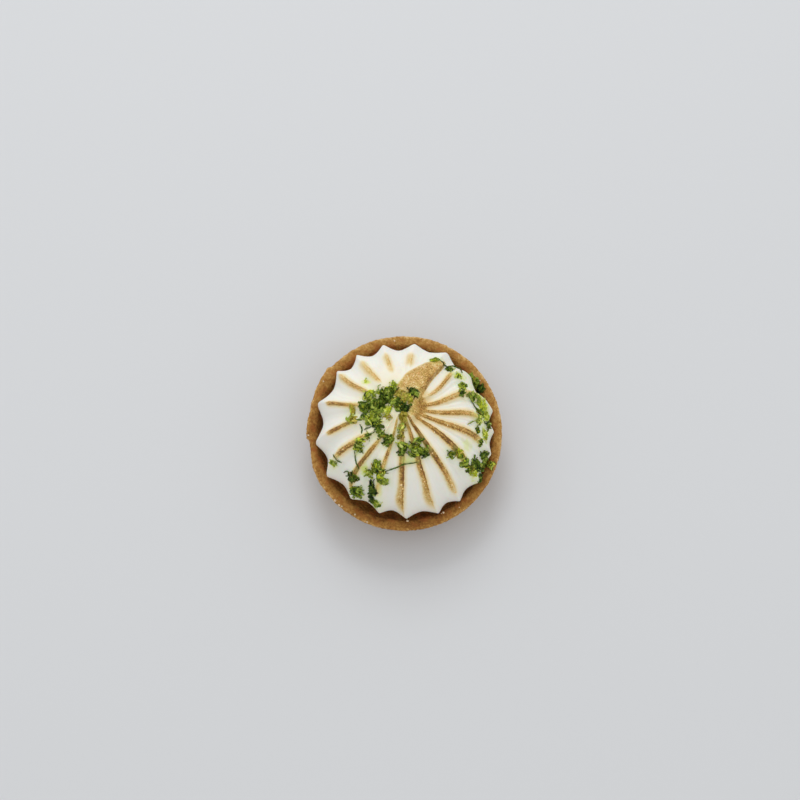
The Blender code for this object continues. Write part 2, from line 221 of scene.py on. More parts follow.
def closed_stack(rings, low_middle, high_middle):
    """Points and faces of a stack of rings, with each end closed by triangles round a middle point."""
    rows, columns = rings.shape[:2]
    points = np.concatenate([rings.reshape(-1, 3), [low_middle, high_middle]])
    low, high = len(points) - 2, len(points) - 1
    last = (rows - 1) * columns
    around = [(column, (column + 1) % columns) for column in range(columns)]
    faces = ring_quads(rows, columns)
    faces += [(low, following, column) for column, following in around]
    faces += [(high, last + column, last + following) for column, following in around]
    return points, faces


# %% From points to a piece
def make_piece(name, points, faces, finish, marks=None):
    """An object in metres from points in millimetres, riding on the tartlet."""
    mesh = bpy.data.meshes.new(name)
    mesh.from_pydata((np.asarray(points) * MM).tolist(), [], faces)
    mesh.validate()
    mesh.shade_smooth()
    for mark, values in (marks or {}).items():
        painted_on = mesh.attributes.new(mark, "FLOAT", "POINT")
        painted_on.data.foreach_set("value", np.asarray(values, dtype=np.float32))
    mesh.materials.append(finish)
    piece = bpy.data.objects.new(name, mesh)
    scene.collection.objects.link(piece)
    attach(piece, "root")
    print(name, len(mesh.vertices), "points,", sum(len(p.vertices) - 2 for p in mesh.polygons), "triangles")
    return piece


# %% Soft steps and soft noise
def smooth_step(low, high, value):
    """0 up to low, 1 from high, and an even curve between."""
    share = np.clip((value - low) / (high - low), 0.0, 1.0)
    return share * share * (3.0 - 2.0 * share)


def bumps(points, per_mm, shift=0.0):
    """Soft noise from about -1 to 1 at each point. Each shift gives a noise that is unlike the others."""
    return np.array([noise.noise(Vector(p) * per_mm + Vector((shift, 0.0, 0.0))) for p in points])

# %% [markdown]
# ## The meringue's form
# Meringue was piped in one go with a star nozzle, which left ridges from the skirt to the top that lean a
# little as the hand turned, and a tail laid over to the upper right. The solid has that form with few faces.
# Here the same sums give it again, with every ridge in thirty-two columns.

# %% Sizes of the dome
DOME_CENTRE = (0.2, 0.5)
DOME_TOP_CENTRE = (-1.6, 3.8)
TIP_HEIGHT = 20.7
DOME_HEIGHT = 46.5
SIDE_FULLNESS = 2.3
TOP_FULLNESS = 1.75
CREST_ROUNDING = 0.07
HOLLOW_POWER = 2.0
HOLLOW_FADE_POWER = 0.75
# The skirt under the tips, from its foot up: how far in from them it is, and how high.
SKIRT = ((5.2, 15.1), (3.2, 17.5), (1.35, 20.0), (0.0, TIP_HEIGHT))
LEAN_SCALE = 27.0 / 4.0  # so that each lean is reached in full at its own third of the way in

# %% The ridges
# Angle of the tip, reach of the tip, lean a third and two thirds of the way in, depth of the hollow after
# it. All are as in the solid, but for the reach of eight tips, most of them on the far side: those stop up
# to a millimetre shorter here, where the photograph shows them.
RIDGES = np.array((
    (359.2, 36.4, 6.0, -9.0, 2.0),
    (373.1, 36.9, 11.5, -11.0, 2.6),
    (399.8, 35.1, 7.5, -18.5, 2.2),
    (420.8, 36.5, -1.0, -6.0, 2.4),
    (442.9, 35.8, 0.0, -3.0, 3.2),
    (463.8, 36.0, 2.0, -2.0, 3.2),
    (482.5, 36.5, 3.5, 3.0, 3.3),
    (499.1, 36.6, 6.0, 9.0, 3.4),
    (523.7, 37.0, 4.5, 7.0, 3.5),
    (549.3, 36.6, 3.0, 1.0, 3.2),
    (571.6, 37.0, -3.5, 10.0, 2.7),
    (593.1, 36.0, -4.5, 6.5, 2.5),
    (613.6, 36.1, -4.0, 4.5, 2.7),
    (631.3, 36.9, -2.0, 3.0, 2.5),
    (651.9, 37.2, -3.5, 1.0, 2.4),
    (667.5, 37.1, 0.0, -1.0, 2.2),
    (684.9, 37.3, 1.0, 3.0, 1.6),
    (704.5, 36.7, 3.0, -5.0, 1.5),
))
print("ridges:", len(RIDGES))

# %% [markdown]
# The tail is a comma on plan: a curved middle line that is widest at its root. Its left side runs out gently
# into the dome and its right side drops steeply, so the sum for how much of it covers a place has two edges.

# %% The tail
TAIL_ROOT = (0.2, 2.6)
TAIL_BEND = (0.7, 14.6)
TAIL_TIP = (16.2, 25.6)
TAIL_HALF_WIDTH = 5.6
TAIL_ROUNDNESS = 2.2
TAIL_LIFT = 2.3
TAIL_LIFT_FADE = 0.6
TAIL_STEEP_EDGE = (0.7, 1.15)
TAIL_GENTLE_EDGE = (0.35, 1.55)
TAIL_STEPS = 24
TAIL_LEAST_WIDTH = 0.6
SHOULDER_CENTRE = (-6.5, 16.5)
SHOULDER_RADIUS = 10.0
SHOULDER_CORE = 0.35


# %% How far along and across the tail
def near_tail(x, y):
    """For places on plan: how far along the tail they are, and how far across it, with minus on its left."""
    s = np.linspace(0.0, 1.0, TAIL_STEPS + 1)
    weights = np.stack([(1 - s) ** 2, 2 * s * (1 - s), s * s], axis=1)
    line = weights @ np.array([TAIL_ROOT, TAIL_BEND, TAIL_TIP])
    half_width = TAIL_HALF_WIDTH * np.sqrt(np.maximum(1 - s**TAIL_ROUNDNESS, 0.0))
    closest = np.full(np.shape(x), np.inf)
    along = np.zeros(np.shape(x))
    across = np.zeros(np.shape(x))
    for i in range(TAIL_STEPS):
        step = line[i + 1] - line[i]
        share = np.clip(((x - line[i, 0]) * step[0] + (y - line[i, 1]) * step[1]) / (step @ step), 0.0, 1.0)
        off_x = x - line[i, 0] - share * step[0]
        off_y = y - line[i, 1] - share * step[1]
        away = np.hypot(off_x, off_y)
        side = np.where(step[0] * off_y - step[1] * off_x < 0, 1.0, -1.0)
        width = half_width[i] + share * (half_width[i + 1] - half_width[i])
        nearer = away < closest
        closest = np.where(nearer, away, closest)
        along = np.where(nearer, (i + share) / TAIL_STEPS, along)
        across = np.where(nearer, side * away / np.maximum(width, TAIL_LEAST_WIDTH), across)
    return along, across


def tail_cover(across):
    """How much of the tail lies over a place: all of it at the middle, none beyond its edges."""
    steep = 1 - smooth_step(*TAIL_STEEP_EDGE, across)
    gentle = 1 - smooth_step(*TAIL_GENTLE_EDGE, -across)
    return np.where(across > 0, steep, gentle)


# %% The dome's points
TINY = 1e-9


def lean(ridge, inward):
    """Degrees that ridges have leant by a share of their way in."""
    early = ridge[..., 2] * inward * (1 - inward) ** 2
    late = ridge[..., 3] * inward**2 * (1 - inward)
    return LEAN_SCALE * (early + late)


def dome_points(lobe, share, rise):
    """Points of the dome, by the share of the way to the next ridge and the rise from the tips to the top."""
    ridge = RIDGES[lobe]
    following = RIDGES[(lobe + 1) % len(RIDGES)]
    turn = rise * math.pi / 2
    radius = np.maximum(np.cos(turn), 0.0) ** (2 / SIDE_FULLNESS)
    up = np.sin(turn) ** (2 / TOP_FULLNESS)
    start = ridge[..., 0] + lean(ridge, 1 - radius)
    end = following[..., 0] + lean(following, 1 - radius) + np.where(lobe == len(RIDGES) - 1, 360.0, 0.0)
    angle = np.radians(start + share * (end - start))
    reach = ridge[..., 1] + share * (following[..., 1] - ridge[..., 1])
    from_crest = np.hypot(2 * np.minimum(share, 1 - share), CREST_ROUNDING) - CREST_ROUNDING
    hollow = ridge[..., 4] * (1 - (1 - from_crest) ** HOLLOW_POWER) * radius**HOLLOW_FADE_POWER
    x = DOME_CENTRE[0] + (DOME_TOP_CENTRE[0] - DOME_CENTRE[0]) * up + reach * radius * np.cos(angle)
    y = DOME_CENTRE[1] + (DOME_TOP_CENTRE[1] - DOME_CENTRE[1]) * up + reach * radius * np.sin(angle)
    along, across = near_tail(x, y)
    cover = tail_cover(across)
    to_shoulder = np.hypot(x - SHOULDER_CENTRE[0], y - SHOULDER_CENTRE[1]) / SHOULDER_RADIUS
    hollow = hollow * (1 - cover) * smooth_step(SHOULDER_CORE, 1.0, to_shoulder)
    outward = radius ** (SIDE_FULLNESS - 1)
    upward = up ** (TOP_FULLNESS - 1)
    size = np.maximum(np.hypot(outward, upward), TINY)
    x = x - hollow * outward / size * np.cos(angle)
    y = y - hollow * outward / size * np.sin(angle)
    z = TIP_HEIGHT + (DOME_HEIGHT - TIP_HEIGHT) * up - hollow * upward / size
    return np.stack([x, y, z + TAIL_LIFT * cover * (1 - along) ** TAIL_LIFT_FADE], axis=-1)


# %% The dome's grid
FINE_COLUMNS = 32
FINE_ROWS = 130
SKIRT_ROWS = 10
ROWS_CROWD_UP = 0.92
lobe = np.repeat(np.arange(len(RIDGES)), FINE_COLUMNS)[None, :]
share = np.tile(np.arange(FINE_COLUMNS) / FINE_COLUMNS, len(RIDGES))[None, :]
rise = (np.arange(FINE_ROWS) / FINE_ROWS)[:, None] ** ROWS_CROWD_UP
dome = dome_points(lobe, share, rise)
print("dome grid:", dome.shape)

# %% [markdown]
# ## Where the flame browned it
# The flame caught what stood proud: a mark along each ridge, and the whole tail. Painting those marks as a
# picture would need a map laid over the form. It is simpler to work out a number for each point from its
# distance to the ridge's crest, since the grid already knows which ridge is near.

# %% How each mark runs
# For each ridge: where its mark starts and ends, as a share of the dome's radius; its half width; how far it
# has slid off the crest where it nears the tip; how brown its outer end, middle and inner end are; and which
# of its edges is darker: -1 the one that is met first going anticlockwise, 1 the other, 0 both. The row of
# zeros is a ridge that has no mark of its own.
MARKS = (
    (0.86, 0.05, 1.00, -0.4, (0.60, 0.66, 0.60), 0),
    (0.93, 0.05, 1.05, -1.3, (0.36, 0.62, 0.64), 0),
    (0.78, 0.31, 0.75, -0.2, (0.66, 0.60, 0.48), 0),
    (0.00, 0.00, 1.00, 0.0, (0.0, 0.0, 0.0), 0),
    (0.75, 0.50, 0.95, 0.0, (0.26, 0.38, 0.32), -1),
    (0.76, 0.40, 0.85, 0.0, (0.30, 0.46, 0.30), -1),
    (0.81, 0.34, 0.95, 0.0, (0.26, 0.46, 0.42), -1),
    (0.89, 0.38, 0.85, 1.2, (0.38, 0.62, 0.54), -1),
    (0.87, 0.42, 0.70, 1.4, (0.76, 0.70, 0.40), 0),
    (0.86, 0.50, 0.80, 0.6, (0.82, 0.78, 0.76), 0),
    (0.87, 0.42, 1.05, 0.4, (0.74, 0.74, 0.50), 0),
    (0.96, 0.36, 0.75, -0.4, (0.98, 0.92, 0.40), 0),
    (0.92, 0.10, 0.62, 0.0, (0.42, 0.74, 0.46), -1),
    (0.99, 0.10, 0.95, -1.3, (0.62, 0.90, 0.46), 1),
    (0.99, 0.08, 0.92, -1.5, (0.50, 0.96, 0.56), 1),
    (0.97, 0.06, 0.92, -0.5, (0.50, 1.10, 0.66), -1),
    (0.87, 0.08, 1.00, -1.0, (0.94, 0.76, 0.60), 0),
    (0.90, 0.05, 1.10, -1.0, (0.72, 0.66, 0.60), 0),
)
print("marks:", sum(outer > 0.0 for outer, *_ in MARKS))

# %% One mark
INNER_NARROWING = 0.45
NARROWS_OVER = (0.15, 0.65)
SLIDES_OVER = (0.75, 1.0)
FLARES_OVER = (0.72, 0.95)
OUTER_FLARE = 1.7
EDGE_NOISE = 0.22
EDGE_NOISE_PER_MM = 0.9
EDGE_NOISE_SHIFT = 11.0
HARD_EDGE = (0.75, 1.25)
SOFT_EDGE = (0.35, 2.1)
SOFTENS_ACROSS = 4.0
OUTER_FADE = (-0.07, 0.03)
INNER_FADE = (-0.03, 0.10)
BROWNS_AT = (0.0, 0.12, 0.5, 1.0)
LOPSIDED = 0.6
LOPSIDED_ACROSS = 2.0
RIM_OF_MARK = 0.42
RIM_PLACE = 0.65
RIM_SPREAD = 0.3
RIM_GAIN = 1.6
FRINGE_BROWN = 0.25
FRINGE = (0.9, 3.3)


def mark_round(points, ridge, from_crest, out):
    """How brown one ridge's mark makes the places near it. Its right edge is crisp, its left one soft."""
    outer, inner, half, slid, browns, darker_edge = MARKS[ridge]
    centre = slid * smooth_step(*SLIDES_OVER, out)
    width = half * (1.0 - INNER_NARROWING * (1.0 - smooth_step(*NARROWS_OVER, out)))
    rightward = -math.sin(math.radians(RIDGES[ridge, 0]))
    uneven = EDGE_NOISE * bumps(points, EDGE_NOISE_PER_MM, shift=EDGE_NOISE_SHIFT * ridge)
    off = (from_crest - centre) / width + uneven
    softness = 0.5 - 0.5 * rightward * np.clip(SOFTENS_ACROSS * off, -1.0, 1.0)
    inside = HARD_EDGE[0] + (SOFT_EDGE[0] - HARD_EDGE[0]) * softness
    flare = OUTER_FLARE * softness * smooth_step(*FLARES_OVER, out) * abs(rightward)
    outside = HARD_EDGE[1] + (SOFT_EDGE[1] - HARD_EDGE[1]) * softness + flare
    edge = 1.0 - smooth_step(inside, outside, np.abs(off))
    lopsided = LOPSIDED + LOPSIDED * darker_edge * np.clip(LOPSIDED_ACROSS * off, -1.0, 1.0)
    rim = RIM_OF_MARK * lopsided * np.exp(-(((np.abs(off) - RIM_PLACE) / RIM_SPREAD) ** 2))
    along = np.clip((outer - out) / (outer - inner), 0.0, 1.0)
    brown = np.interp(along, BROWNS_AT, (browns[0], *browns))
    outer_end = 1.0 - smooth_step(outer + OUTER_FADE[0], outer + OUTER_FADE[1], out)
    ends = outer_end * smooth_step(inner + INNER_FADE[0], inner + INNER_FADE[1], out)
    fringe = FRINGE_BROWN * (1.0 - smooth_step(*FRINGE, np.abs(off))) * ends
    return np.maximum(brown * (1.0 + RIM_GAIN * rim * brown) * edge * ends, fringe)


# %% The marks on the grid
LOOKS_BROWN = 0.3
radius_share = np.broadcast_to(np.cos(rise * math.pi / 2) ** (2 / SIDE_FULLNESS), dome.shape[:2])
crest_points = dome[:, ::FINE_COLUMNS]
chord = np.linalg.norm(np.roll(crest_points, -1, axis=1) - crest_points, axis=-1)
browned = np.zeros(dome.shape[:2])
for ridge in range(len(RIDGES)):
    if MARKS[ridge][0] == 0.0:
        continue
    for side in (0, 1):
        sector = (ridge - side) % len(RIDGES)
        columns = slice(sector * FINE_COLUMNS, (sector + 1) * FINE_COLUMNS)
        from_crest = (share[:, columns] - side) * chord[:, sector : sector + 1]
        points = dome[:, columns].reshape(-1, 3)
        mark = mark_round(points, ridge, from_crest.reshape(-1), radius_share[:, columns].reshape(-1))
        browned[:, columns] = np.maximum(browned[:, columns], mark.reshape(from_crest.shape))
print("browned share of the dome:", round(float((browned > LOOKS_BROWN).mean()), 3))

# %% [markdown]
# The tail is browned all over, darker along its right edge, and so is the place where it springs from the
# top, which has a glow of cream round it. The warmth has turned the white near the top faintly cream as
# well. The skirt stands in the case's shade, where pure white would look grey, so warm light bounced from
# the pastry is painted on it as some cream.

# %% Browned tail and its root
ROOT_MIDDLE = (5.5, 4.1)
ROOT_RADII = (4.2, 5.2)
ROOT_BROWN = 0.68
ROOT_FADE = (0.6, 1.3)
ROOT_WAVER = 0.2
ROOT_GLOW = 0.28
ROOT_GLOW_FADE = (1.0, 2.3)
TAIL_BROWN = 0.58
TAIL_BROWN_START = (0.05, 0.28)
TAIL_RIGHT_EDGE = (0.96, 1.08)
TAIL_LEFT_EDGE = (0.85, 1.2)
LEFT_EDGE_WAVER = 0.12
DARKER_EDGE_BROWN = 0.2
DARKER_EDGE_ACROSS = (0.35, 0.95)
DARKER_EDGE_ALONG = (0.2, 0.5)
WAVERS_PER_MM = 0.3
CREAM_AT_TOP = 0.10
CREAM_FADE = (0.2, 0.85)
CREAM_WAVER = 0.5
# Painted warm bounce light on the skirt, which stands in the case's shade: it is made a little cream.
PAINTED_BOUNCE_BELOW = 0.16

along, across = near_tail(dome[..., 0], dome[..., 1])
flat = dome.reshape(-1, 3)
waver = bumps(flat, WAVERS_PER_MM).reshape(browned.shape)
left_edge = 1 - smooth_step(*TAIL_LEFT_EDGE, -across + LEFT_EDGE_WAVER * waver)
on_tail = np.where(across > 0, 1 - smooth_step(*TAIL_RIGHT_EDGE, across), left_edge)
darker_edge = smooth_step(*DARKER_EDGE_ACROSS, across) * smooth_step(*DARKER_EDGE_ALONG, along)
tail_brown = (TAIL_BROWN + DARKER_EDGE_BROWN * darker_edge) * on_tail * smooth_step(*TAIL_BROWN_START, along)
off_root = (dome[..., :2] - ROOT_MIDDLE) / ROOT_RADII
from_root = np.hypot(off_root[..., 0], off_root[..., 1]) + ROOT_WAVER * waver
root_brown = ROOT_BROWN * (1 - smooth_step(*ROOT_FADE, from_root))
root_glow = ROOT_GLOW * (1 - smooth_step(*ROOT_GLOW_FADE, from_root))
cream = CREAM_AT_TOP * (1.0 - smooth_step(*CREAM_FADE, radius_share)) * (1.0 + CREAM_WAVER * waver)
browned = np.maximum.reduce([browned, tail_brown, root_brown, root_glow, cream])
print("hottest place:", round(float(browned.max()), 2))

# %% [markdown]
# Browned meringue has bubbled up a little, and the nozzle drew faint streaks along each ridge. What the grid
# can hold of both is real relief: each point moves out along the surface by a small noise, which for the
# bubbles is stronger where it is browned, and for the streaks is stretched along the ridge.

# %% Bubbles and streaks
SOFT_RELIEF_MM = 0.10
BUBBLE_RELIEF_MM = 0.08
BUBBLES_PER_MM = 1.6
BROWN_SWELL = 0.6
STREAK_RELIEF_MM = 0.28
STREAKS_A_LOBE = 7.0
STREAK_WANDER = 1.6
STREAK_SHIFT = 9.0
STREAKS_START = (0.3, 0.7)
STREAKS_END = (0.86, 1.0)
PLAIN_TOP = (0.02, 0.1)


def outward_of(grid):
    """Directions straight out of a grid of rings."""
    around = np.roll(grid, -1, axis=1) - np.roll(grid, 1, axis=1)
    upward = np.gradient(grid, axis=0)
    normal = np.cross(around, upward)
    return normal / np.maximum(np.linalg.norm(normal, axis=-1, keepdims=True), TINY)


bubbles = bumps(flat, BUBBLES_PER_MM, shift=5.0).reshape(browned.shape)
around_lobes = STREAKS_A_LOBE * (lobe + share)
drawn = np.stack(np.broadcast_arrays(around_lobes, STREAK_WANDER * rise, STREAK_SHIFT), axis=-1)
streaks = bumps(drawn.reshape(-1, 3), 1.0).reshape(browned.shape)
streaks = streaks * smooth_step(*STREAKS_START, radius_share)
streaks = streaks * (1.0 - smooth_step(*STREAKS_END, radius_share))
relief = SOFT_RELIEF_MM * waver + BUBBLE_RELIEF_MM * browned * (BROWN_SWELL + bubbles)
relief = relief + STREAK_RELIEF_MM * streaks
relief = relief * smooth_step(*PLAIN_TOP, radius_share)
dome = dome + outward_of(dome) * relief[..., None]
print("relief:", round(float(relief.min()), 2), "to", round(float(relief.max()), 2), "mm")

# %% Skirt, and the finished grid
tips = dome[0]
from_middle = (tips - (*DOME_CENTRE, 0.0)) * (1.0, 1.0, 0.0)
direction = from_middle / np.linalg.norm(from_middle, axis=1, keepdims=True)
steps = np.linspace(0.0, len(SKIRT) - 1.0, SKIRT_ROWS + 1)[:-1, None]
inset, level = [np.interp(steps, range(len(SKIRT)), sizes) for sizes in np.array(SKIRT).T]
skirt = tips - direction * inset[..., None]
skirt[..., 2] = level
grid = np.concatenate([skirt, dome])
# The skirt's rows carry painted warm bounce light as a little cream.
brown_and_bounce_grid = np.concatenate([np.full(skirt.shape[:2], PAINTED_BOUNCE_BELOW), browned])
print("meringue grid:", grid.shape)

# %% [markdown]
# ## The meringue's finish
# White meringue is almost matte, with a faint shine, and light goes a little way into it. Where the flame
# caught it the sugar turned from cream through gold to brown, speckled with pores and glistening bubbles.
# One number, the heat, goes through a colour ramp; cells for the pores and noise of several sizes break it
# up.

# %% Meringue finish
WHITE_TO_BROWN = (
    (0.0, (240, 240, 232)),
    (0.12, (240, 233, 209)),
    (0.3, (228, 205, 148)),
    (0.5, (208, 170, 92)),
    (0.75, (168, 126, 52)),
    (1.0, (112, 72, 22)),
)
CARAMEL = (216, 152, 86)
LIME_JUICE = (220, 230, 124)
TOASTED_FROM = (0.2, 0.65)
HEAT_BY_FRECKLES = 1.5
HEAT_BY_PORES = 0.3
HEAT_BY_PATCHES = 0.8
PORE_MIDDLE = 0.4
CARAMEL_PATCHES = (0.5, 0.75)
CARAMEL_SHARE = 0.45
WHITE_ROUGHNESS = 0.55
TOASTED_SHINE = 0.2
FRECKLED_SHINE = 0.1
WHITE_RELIEF = 0.2
TOASTED_RELIEF = 0.5
PORE_RELIEF = 0.5


def meringue_finish():
    """White to brown by how hot each place got, warmer in patches, and pale green where juice ran."""
    finish, shader, start = new_finish("torched_meringue", specular=0.35, subsurface=0.12, subsurface_mm=1.2)
    where = places(start)
    # The browned mark also carries the painted bounce light on the skirt.
    brown = painted(start, "browned")
    lime = painted(start, "lime")
    toasted = brown.between(*TOASTED_FROM)
    freckles = cloud(where, per_mm=2.0, detail=5.0)
    pores = cells(where, per_mm=3.1)
    patches = cloud(where, per_mm=0.35)
    speckle = HEAT_BY_FRECKLES * (freckles - 0.5) + HEAT_BY_PORES * (PORE_MIDDLE - pores)
    heat = brown + toasted * (speckle + HEAT_BY_PATCHES * (patches - 0.5))
    caramel = toasted * cloud(where, per_mm=0.8).between(*CARAMEL_PATCHES) * CARAMEL_SHARE
    colour = mixed(caramel, ramped(heat, WHITE_TO_BROWN), linear(*CARAMEL))
    feed(shader, "Base Color", mixed(lime, colour, linear(*LIME_JUICE)))
    duller = FRECKLED_SHINE * (freckles - 0.5)
    feed(shader, "Roughness", WHITE_ROUGHNESS - TOASTED_SHINE * toasted + duller)
    freckled = freckles * (WHITE_RELIEF + TOASTED_RELIEF * toasted)
    raised(shader, freckled + toasted * (1 - pores) * PORE_RELIEF, depth_mm=0.12)
    return finish


meringue_look = meringue_finish()

# %% [markdown]
# ## Where the garnish lies
# The slivers lie in clumps. Each row gives a clump's middle and half size, how high it is heaped, how many
# slivers it has, and its mix: the shares of dark, fresh, zest and olive, and how much lighter than usual
# they are.

# %% Where the clumps lie
DEEP = ((0.92, 0.06, 0.0, 0.02), -0.25)
DARK = ((0.78, 0.18, 0.02, 0.02), -0.04)
GREEN = ((0.45, 0.40, 0.10, 0.05), 0.0)
OLIVE = ((0.06, 0.04, 0.10, 0.80), 0.3)
MIXED = ((0.30, 0.12, 0.13, 0.45), 0.0)
FRESH = ((0.15, 0.60, 0.23, 0.02), 0.05)
LIGHT = ((0.0, 0.75, 0.25, 0.0), 0.15)
YELLOW = ((0.0, 0.15, 0.85, 0.0), 0.1)

CLUMPS = (
    # Main heap, left of the top
    (-13.3, 8.9, 2.4, 1.7, 1.2, 12, LIGHT),
    (-8.0, 9.4, 2.8, 1.9, 2.0, 32, DARK),
    (-4.2, 11.8, 1.1, 2.0, 1.6, 8, FRESH),
    (-5.0, 10.6, 1.2, 1.6, 1.4, 8, DARK),
    (-5.8, 7.0, 2.2, 1.8, 1.6, 20, DARK),
    (-2.8, 5.4, 2.0, 1.6, 1.2, 16, MIXED),
    (-2.9, 3.4, 1.7, 0.9, 0.9, 9, MIXED),
    (-0.6, 7.6, 2.6, 2.0, 1.2, 24, OLIVE),
    (1.8, 6.2, 1.1, 1.2, 0.9, 8, OLIVE),
    (4.0, 9.2, 1.3, 1.4, 1.2, 11, DEEP),
    (-8.8, 6.0, 1.8, 1.4, 1.6, 14, DARK),
    (-15.2, 4.4, 2.4, 1.8, 1.6, 18, DARK),
    (-11.4, 3.6, 3.0, 2.8, 2.2, 42, DARK),
    (-12.5, -0.6, 3.2, 1.8, 1.6, 24, FRESH),
    (-16.8, -0.4, 0.9, 0.6, 0.8, 4, GREEN),
    (-11.0, -2.6, 1.5, 2.3, 1.6, 18, DARK),
    (-9.5, -6.0, 0.8, 2.2, 1.2, 10, DARK),
    (-6.6, -9.2, 1.9, 2.4, 1.6, 24, DARK),
    (0.4, 2.8, 2.1, 1.3, 1.2, 16, DEEP),
    (-0.2, -0.8, 1.0, 2.0, 0.8, 10, OLIVE),
    (-0.9, -4.0, 0.7, 2.0, 0.7, 7, OLIVE),
    (-1.9, -8.0, 0.6, 1.5, 0.6, 5, OLIVE),
    (-6.8, 2.4, 1.3, 1.5, 0.6, 12, YELLOW),
    (-5.9, -0.4, 0.4, 1.2, 0.5, 3, OLIVE),
    # Below the top
    (-0.4, -12.6, 1.7, 2.3, 1.8, 22, DARK),
    (4.2, -12.8, 2.2, 2.6, 1.8, 28, GREEN),
    (6.0, -9.8, 1.2, 0.9, 0.9, 6, GREEN),
    (7.8, -13.4, 2.2, 1.3, 1.2, 15, DARK),
    # Left side
    (-20.9, 3.2, 0.7, 1.6, 0.5, 5, OLIVE),
    (-20.6, -0.4, 1.7, 1.1, 0.5, 8, OLIVE),
    (-22.2, 1.0, 0.8, 0.5, 0.4, 2, FRESH),
    (-18.3, -10.1, 1.1, 1.6, 0.9, 10, FRESH),
    (-14.6, -7.6, 1.0, 0.7, 0.6, 4, GREEN),
    (-16.7, -12.4, 0.6, 0.6, 0.6, 3, DEEP),
    (-15.4, 15.6, 0.9, 0.3, 0.1, 1, YELLOW),
    (-28.6, -15.6, 1.2, 0.8, 0.5, 6, FRESH),
    (-20.2, -22.0, 1.3, 1.3, 1.0, 12, DEEP),
    (-19.0, -26.6, 2.8, 1.3, 1.2, 20, DARK),
    (-11.6, -19.6, 2.2, 2.4, 1.5, 20, GREEN),
    (-13.8, -21.4, 1.0, 1.8, 1.0, 8, FRESH),
    (-9.6, -21.6, 1.4, 2.6, 1.3, 12, GREEN),
    (-8.2, -24.4, 1.9, 0.7, 0.8, 9, FRESH),
    (-13.0, -25.6, 1.0, 2.2, 1.5, 16, DEEP),
    (-12.4, -28.6, 1.1, 2.4, 1.3, 20, DEEP),
    (-10.8, -31.6, 1.2, 1.2, 0.8, 9, FRESH),
    # Right side, from the far end to the near one
    (12.2, 25.9, 1.3, 0.7, 0.5, 6, FRESH),
    (18.5, 22.5, 1.4, 1.5, 1.0, 14, DARK),
    (21.8, 20.9, 1.6, 1.0, 0.4, 3, YELLOW),
    (23.2, 15.2, 0.8, 1.9, 0.9, 9, GREEN),
    (23.3, 11.6, 0.6, 1.6, 0.6, 5, DARK),
    (27.4, 11.5, 1.2, 1.2, 0.8, 7, DARK),
    (26.8, 23.8, 1.1, 1.1, 0.9, 8, GREEN),
    (28.9, 21.2, 1.2, 1.5, 1.0, 13, DARK),
    (30.9, 18.6, 0.8, 1.5, 0.9, 10, DEEP),
    (30.2, 10.8, 1.0, 1.4, 0.6, 8, YELLOW),
    (31.8, 8.4, 1.3, 1.8, 0.7, 15, YELLOW),
    (32.6, 4.8, 1.3, 2.0, 0.7, 18, YELLOW),
    (30.6, 5.6, 1.0, 1.2, 0.6, 8, GREEN),
    (34.0, 1.0, 0.5, 2.2, 0.5, 7, DARK),
    (32.5, -3.2, 0.7, 2.2, 0.5, 9, YELLOW),
    (30.2, 2.0, 0.6, 1.6, 0.5, 5, FRESH),
    (29.6, -1.8, 0.6, 1.2, 0.5, 5, GREEN),
    (30.5, -7.4, 0.7, 0.5, 0.6, 4, DARK),
    (18.5, -13.3, 1.3, 1.0, 0.9, 9, DARK),
    (22.4, -13.4, 1.4, 1.4, 0.8, 9, MIXED),
    (24.6, -16.4, 1.4, 1.2, 1.0, 10, GREEN),
    (26.8, -17.4, 1.5, 0.9, 0.9, 9, MIXED),
    (29.2, -15.8, 2.6, 1.5, 1.3, 26, DARK),
    (31.2, -15.0, 1.4, 1.4, 1.0, 10, GREEN),
    (28.8, -18.2, 1.0, 1.8, 0.8, 8, YELLOW),
    (30.6, -19.4, 0.7, 2.0, 0.8, 8, DARK),
    (32.3, -11.2, 1.2, 2.2, 1.2, 14, DARK),
    (34.6, -13.6, 2.0, 0.9, 0.9, 12, MIXED),
)
print("clumps:", len(CLUMPS))

# %% [markdown]
# Lime juice from the zest has tinted the white a pale green: a little of it all round every clump, and more
# in some spots, most of all along the right edge. Each of those is a soft spot whose outline noise bends:
# its middle, its half size and how strong it is.

# %% Pale green stains
STAINS = (
    (25.2, -9.2, 2.0, 2.4, 0.55),
    (31.0, 12.0, 1.8, 3.4, 0.60),
    (32.4, 6.4, 2.4, 4.2, 0.95),
    (32.6, -2.6, 1.4, 3.6, 0.65),
    (29.6, 3.4, 2.4, 1.8, 0.40),
    (27.0, 16.6, 2.2, 2.4, 0.35),
    (22.2, 20.4, 2.8, 1.8, 0.85),
    (14.6, 26.4, 1.8, 1.2, 0.40),
    (-15.4, 15.5, 1.9, 1.0, 0.95),
    (-13.5, 8.5, 3.2, 2.4, 0.60),
    (-20.6, 1.4, 1.6, 2.8, 0.50),
    (-16.0, -19.8, 1.6, 2.0, 0.90),
    (-9.8, -27.6, 1.4, 2.2, 0.40),
    (1.6, -17.0, 3.6, 1.7, 0.65),
    (-18.6, -12.6, 1.6, 2.4, 0.50),
    (-28.2, -16.2, 1.8, 1.4, 0.50),
    (-11.6, -6.4, 1.6, 2.6, 0.40),
    (28.8, -19.0, 1.8, 2.6, 0.75),
)
HALO = 0.18
HALO_MM = 2.0
STAIN_BEND = 0.7
STAIN_BENDS_PER_MM = 0.7
STAIN_FADE = (0.3, 1.5)
LOOKS_GREEN = 0.2

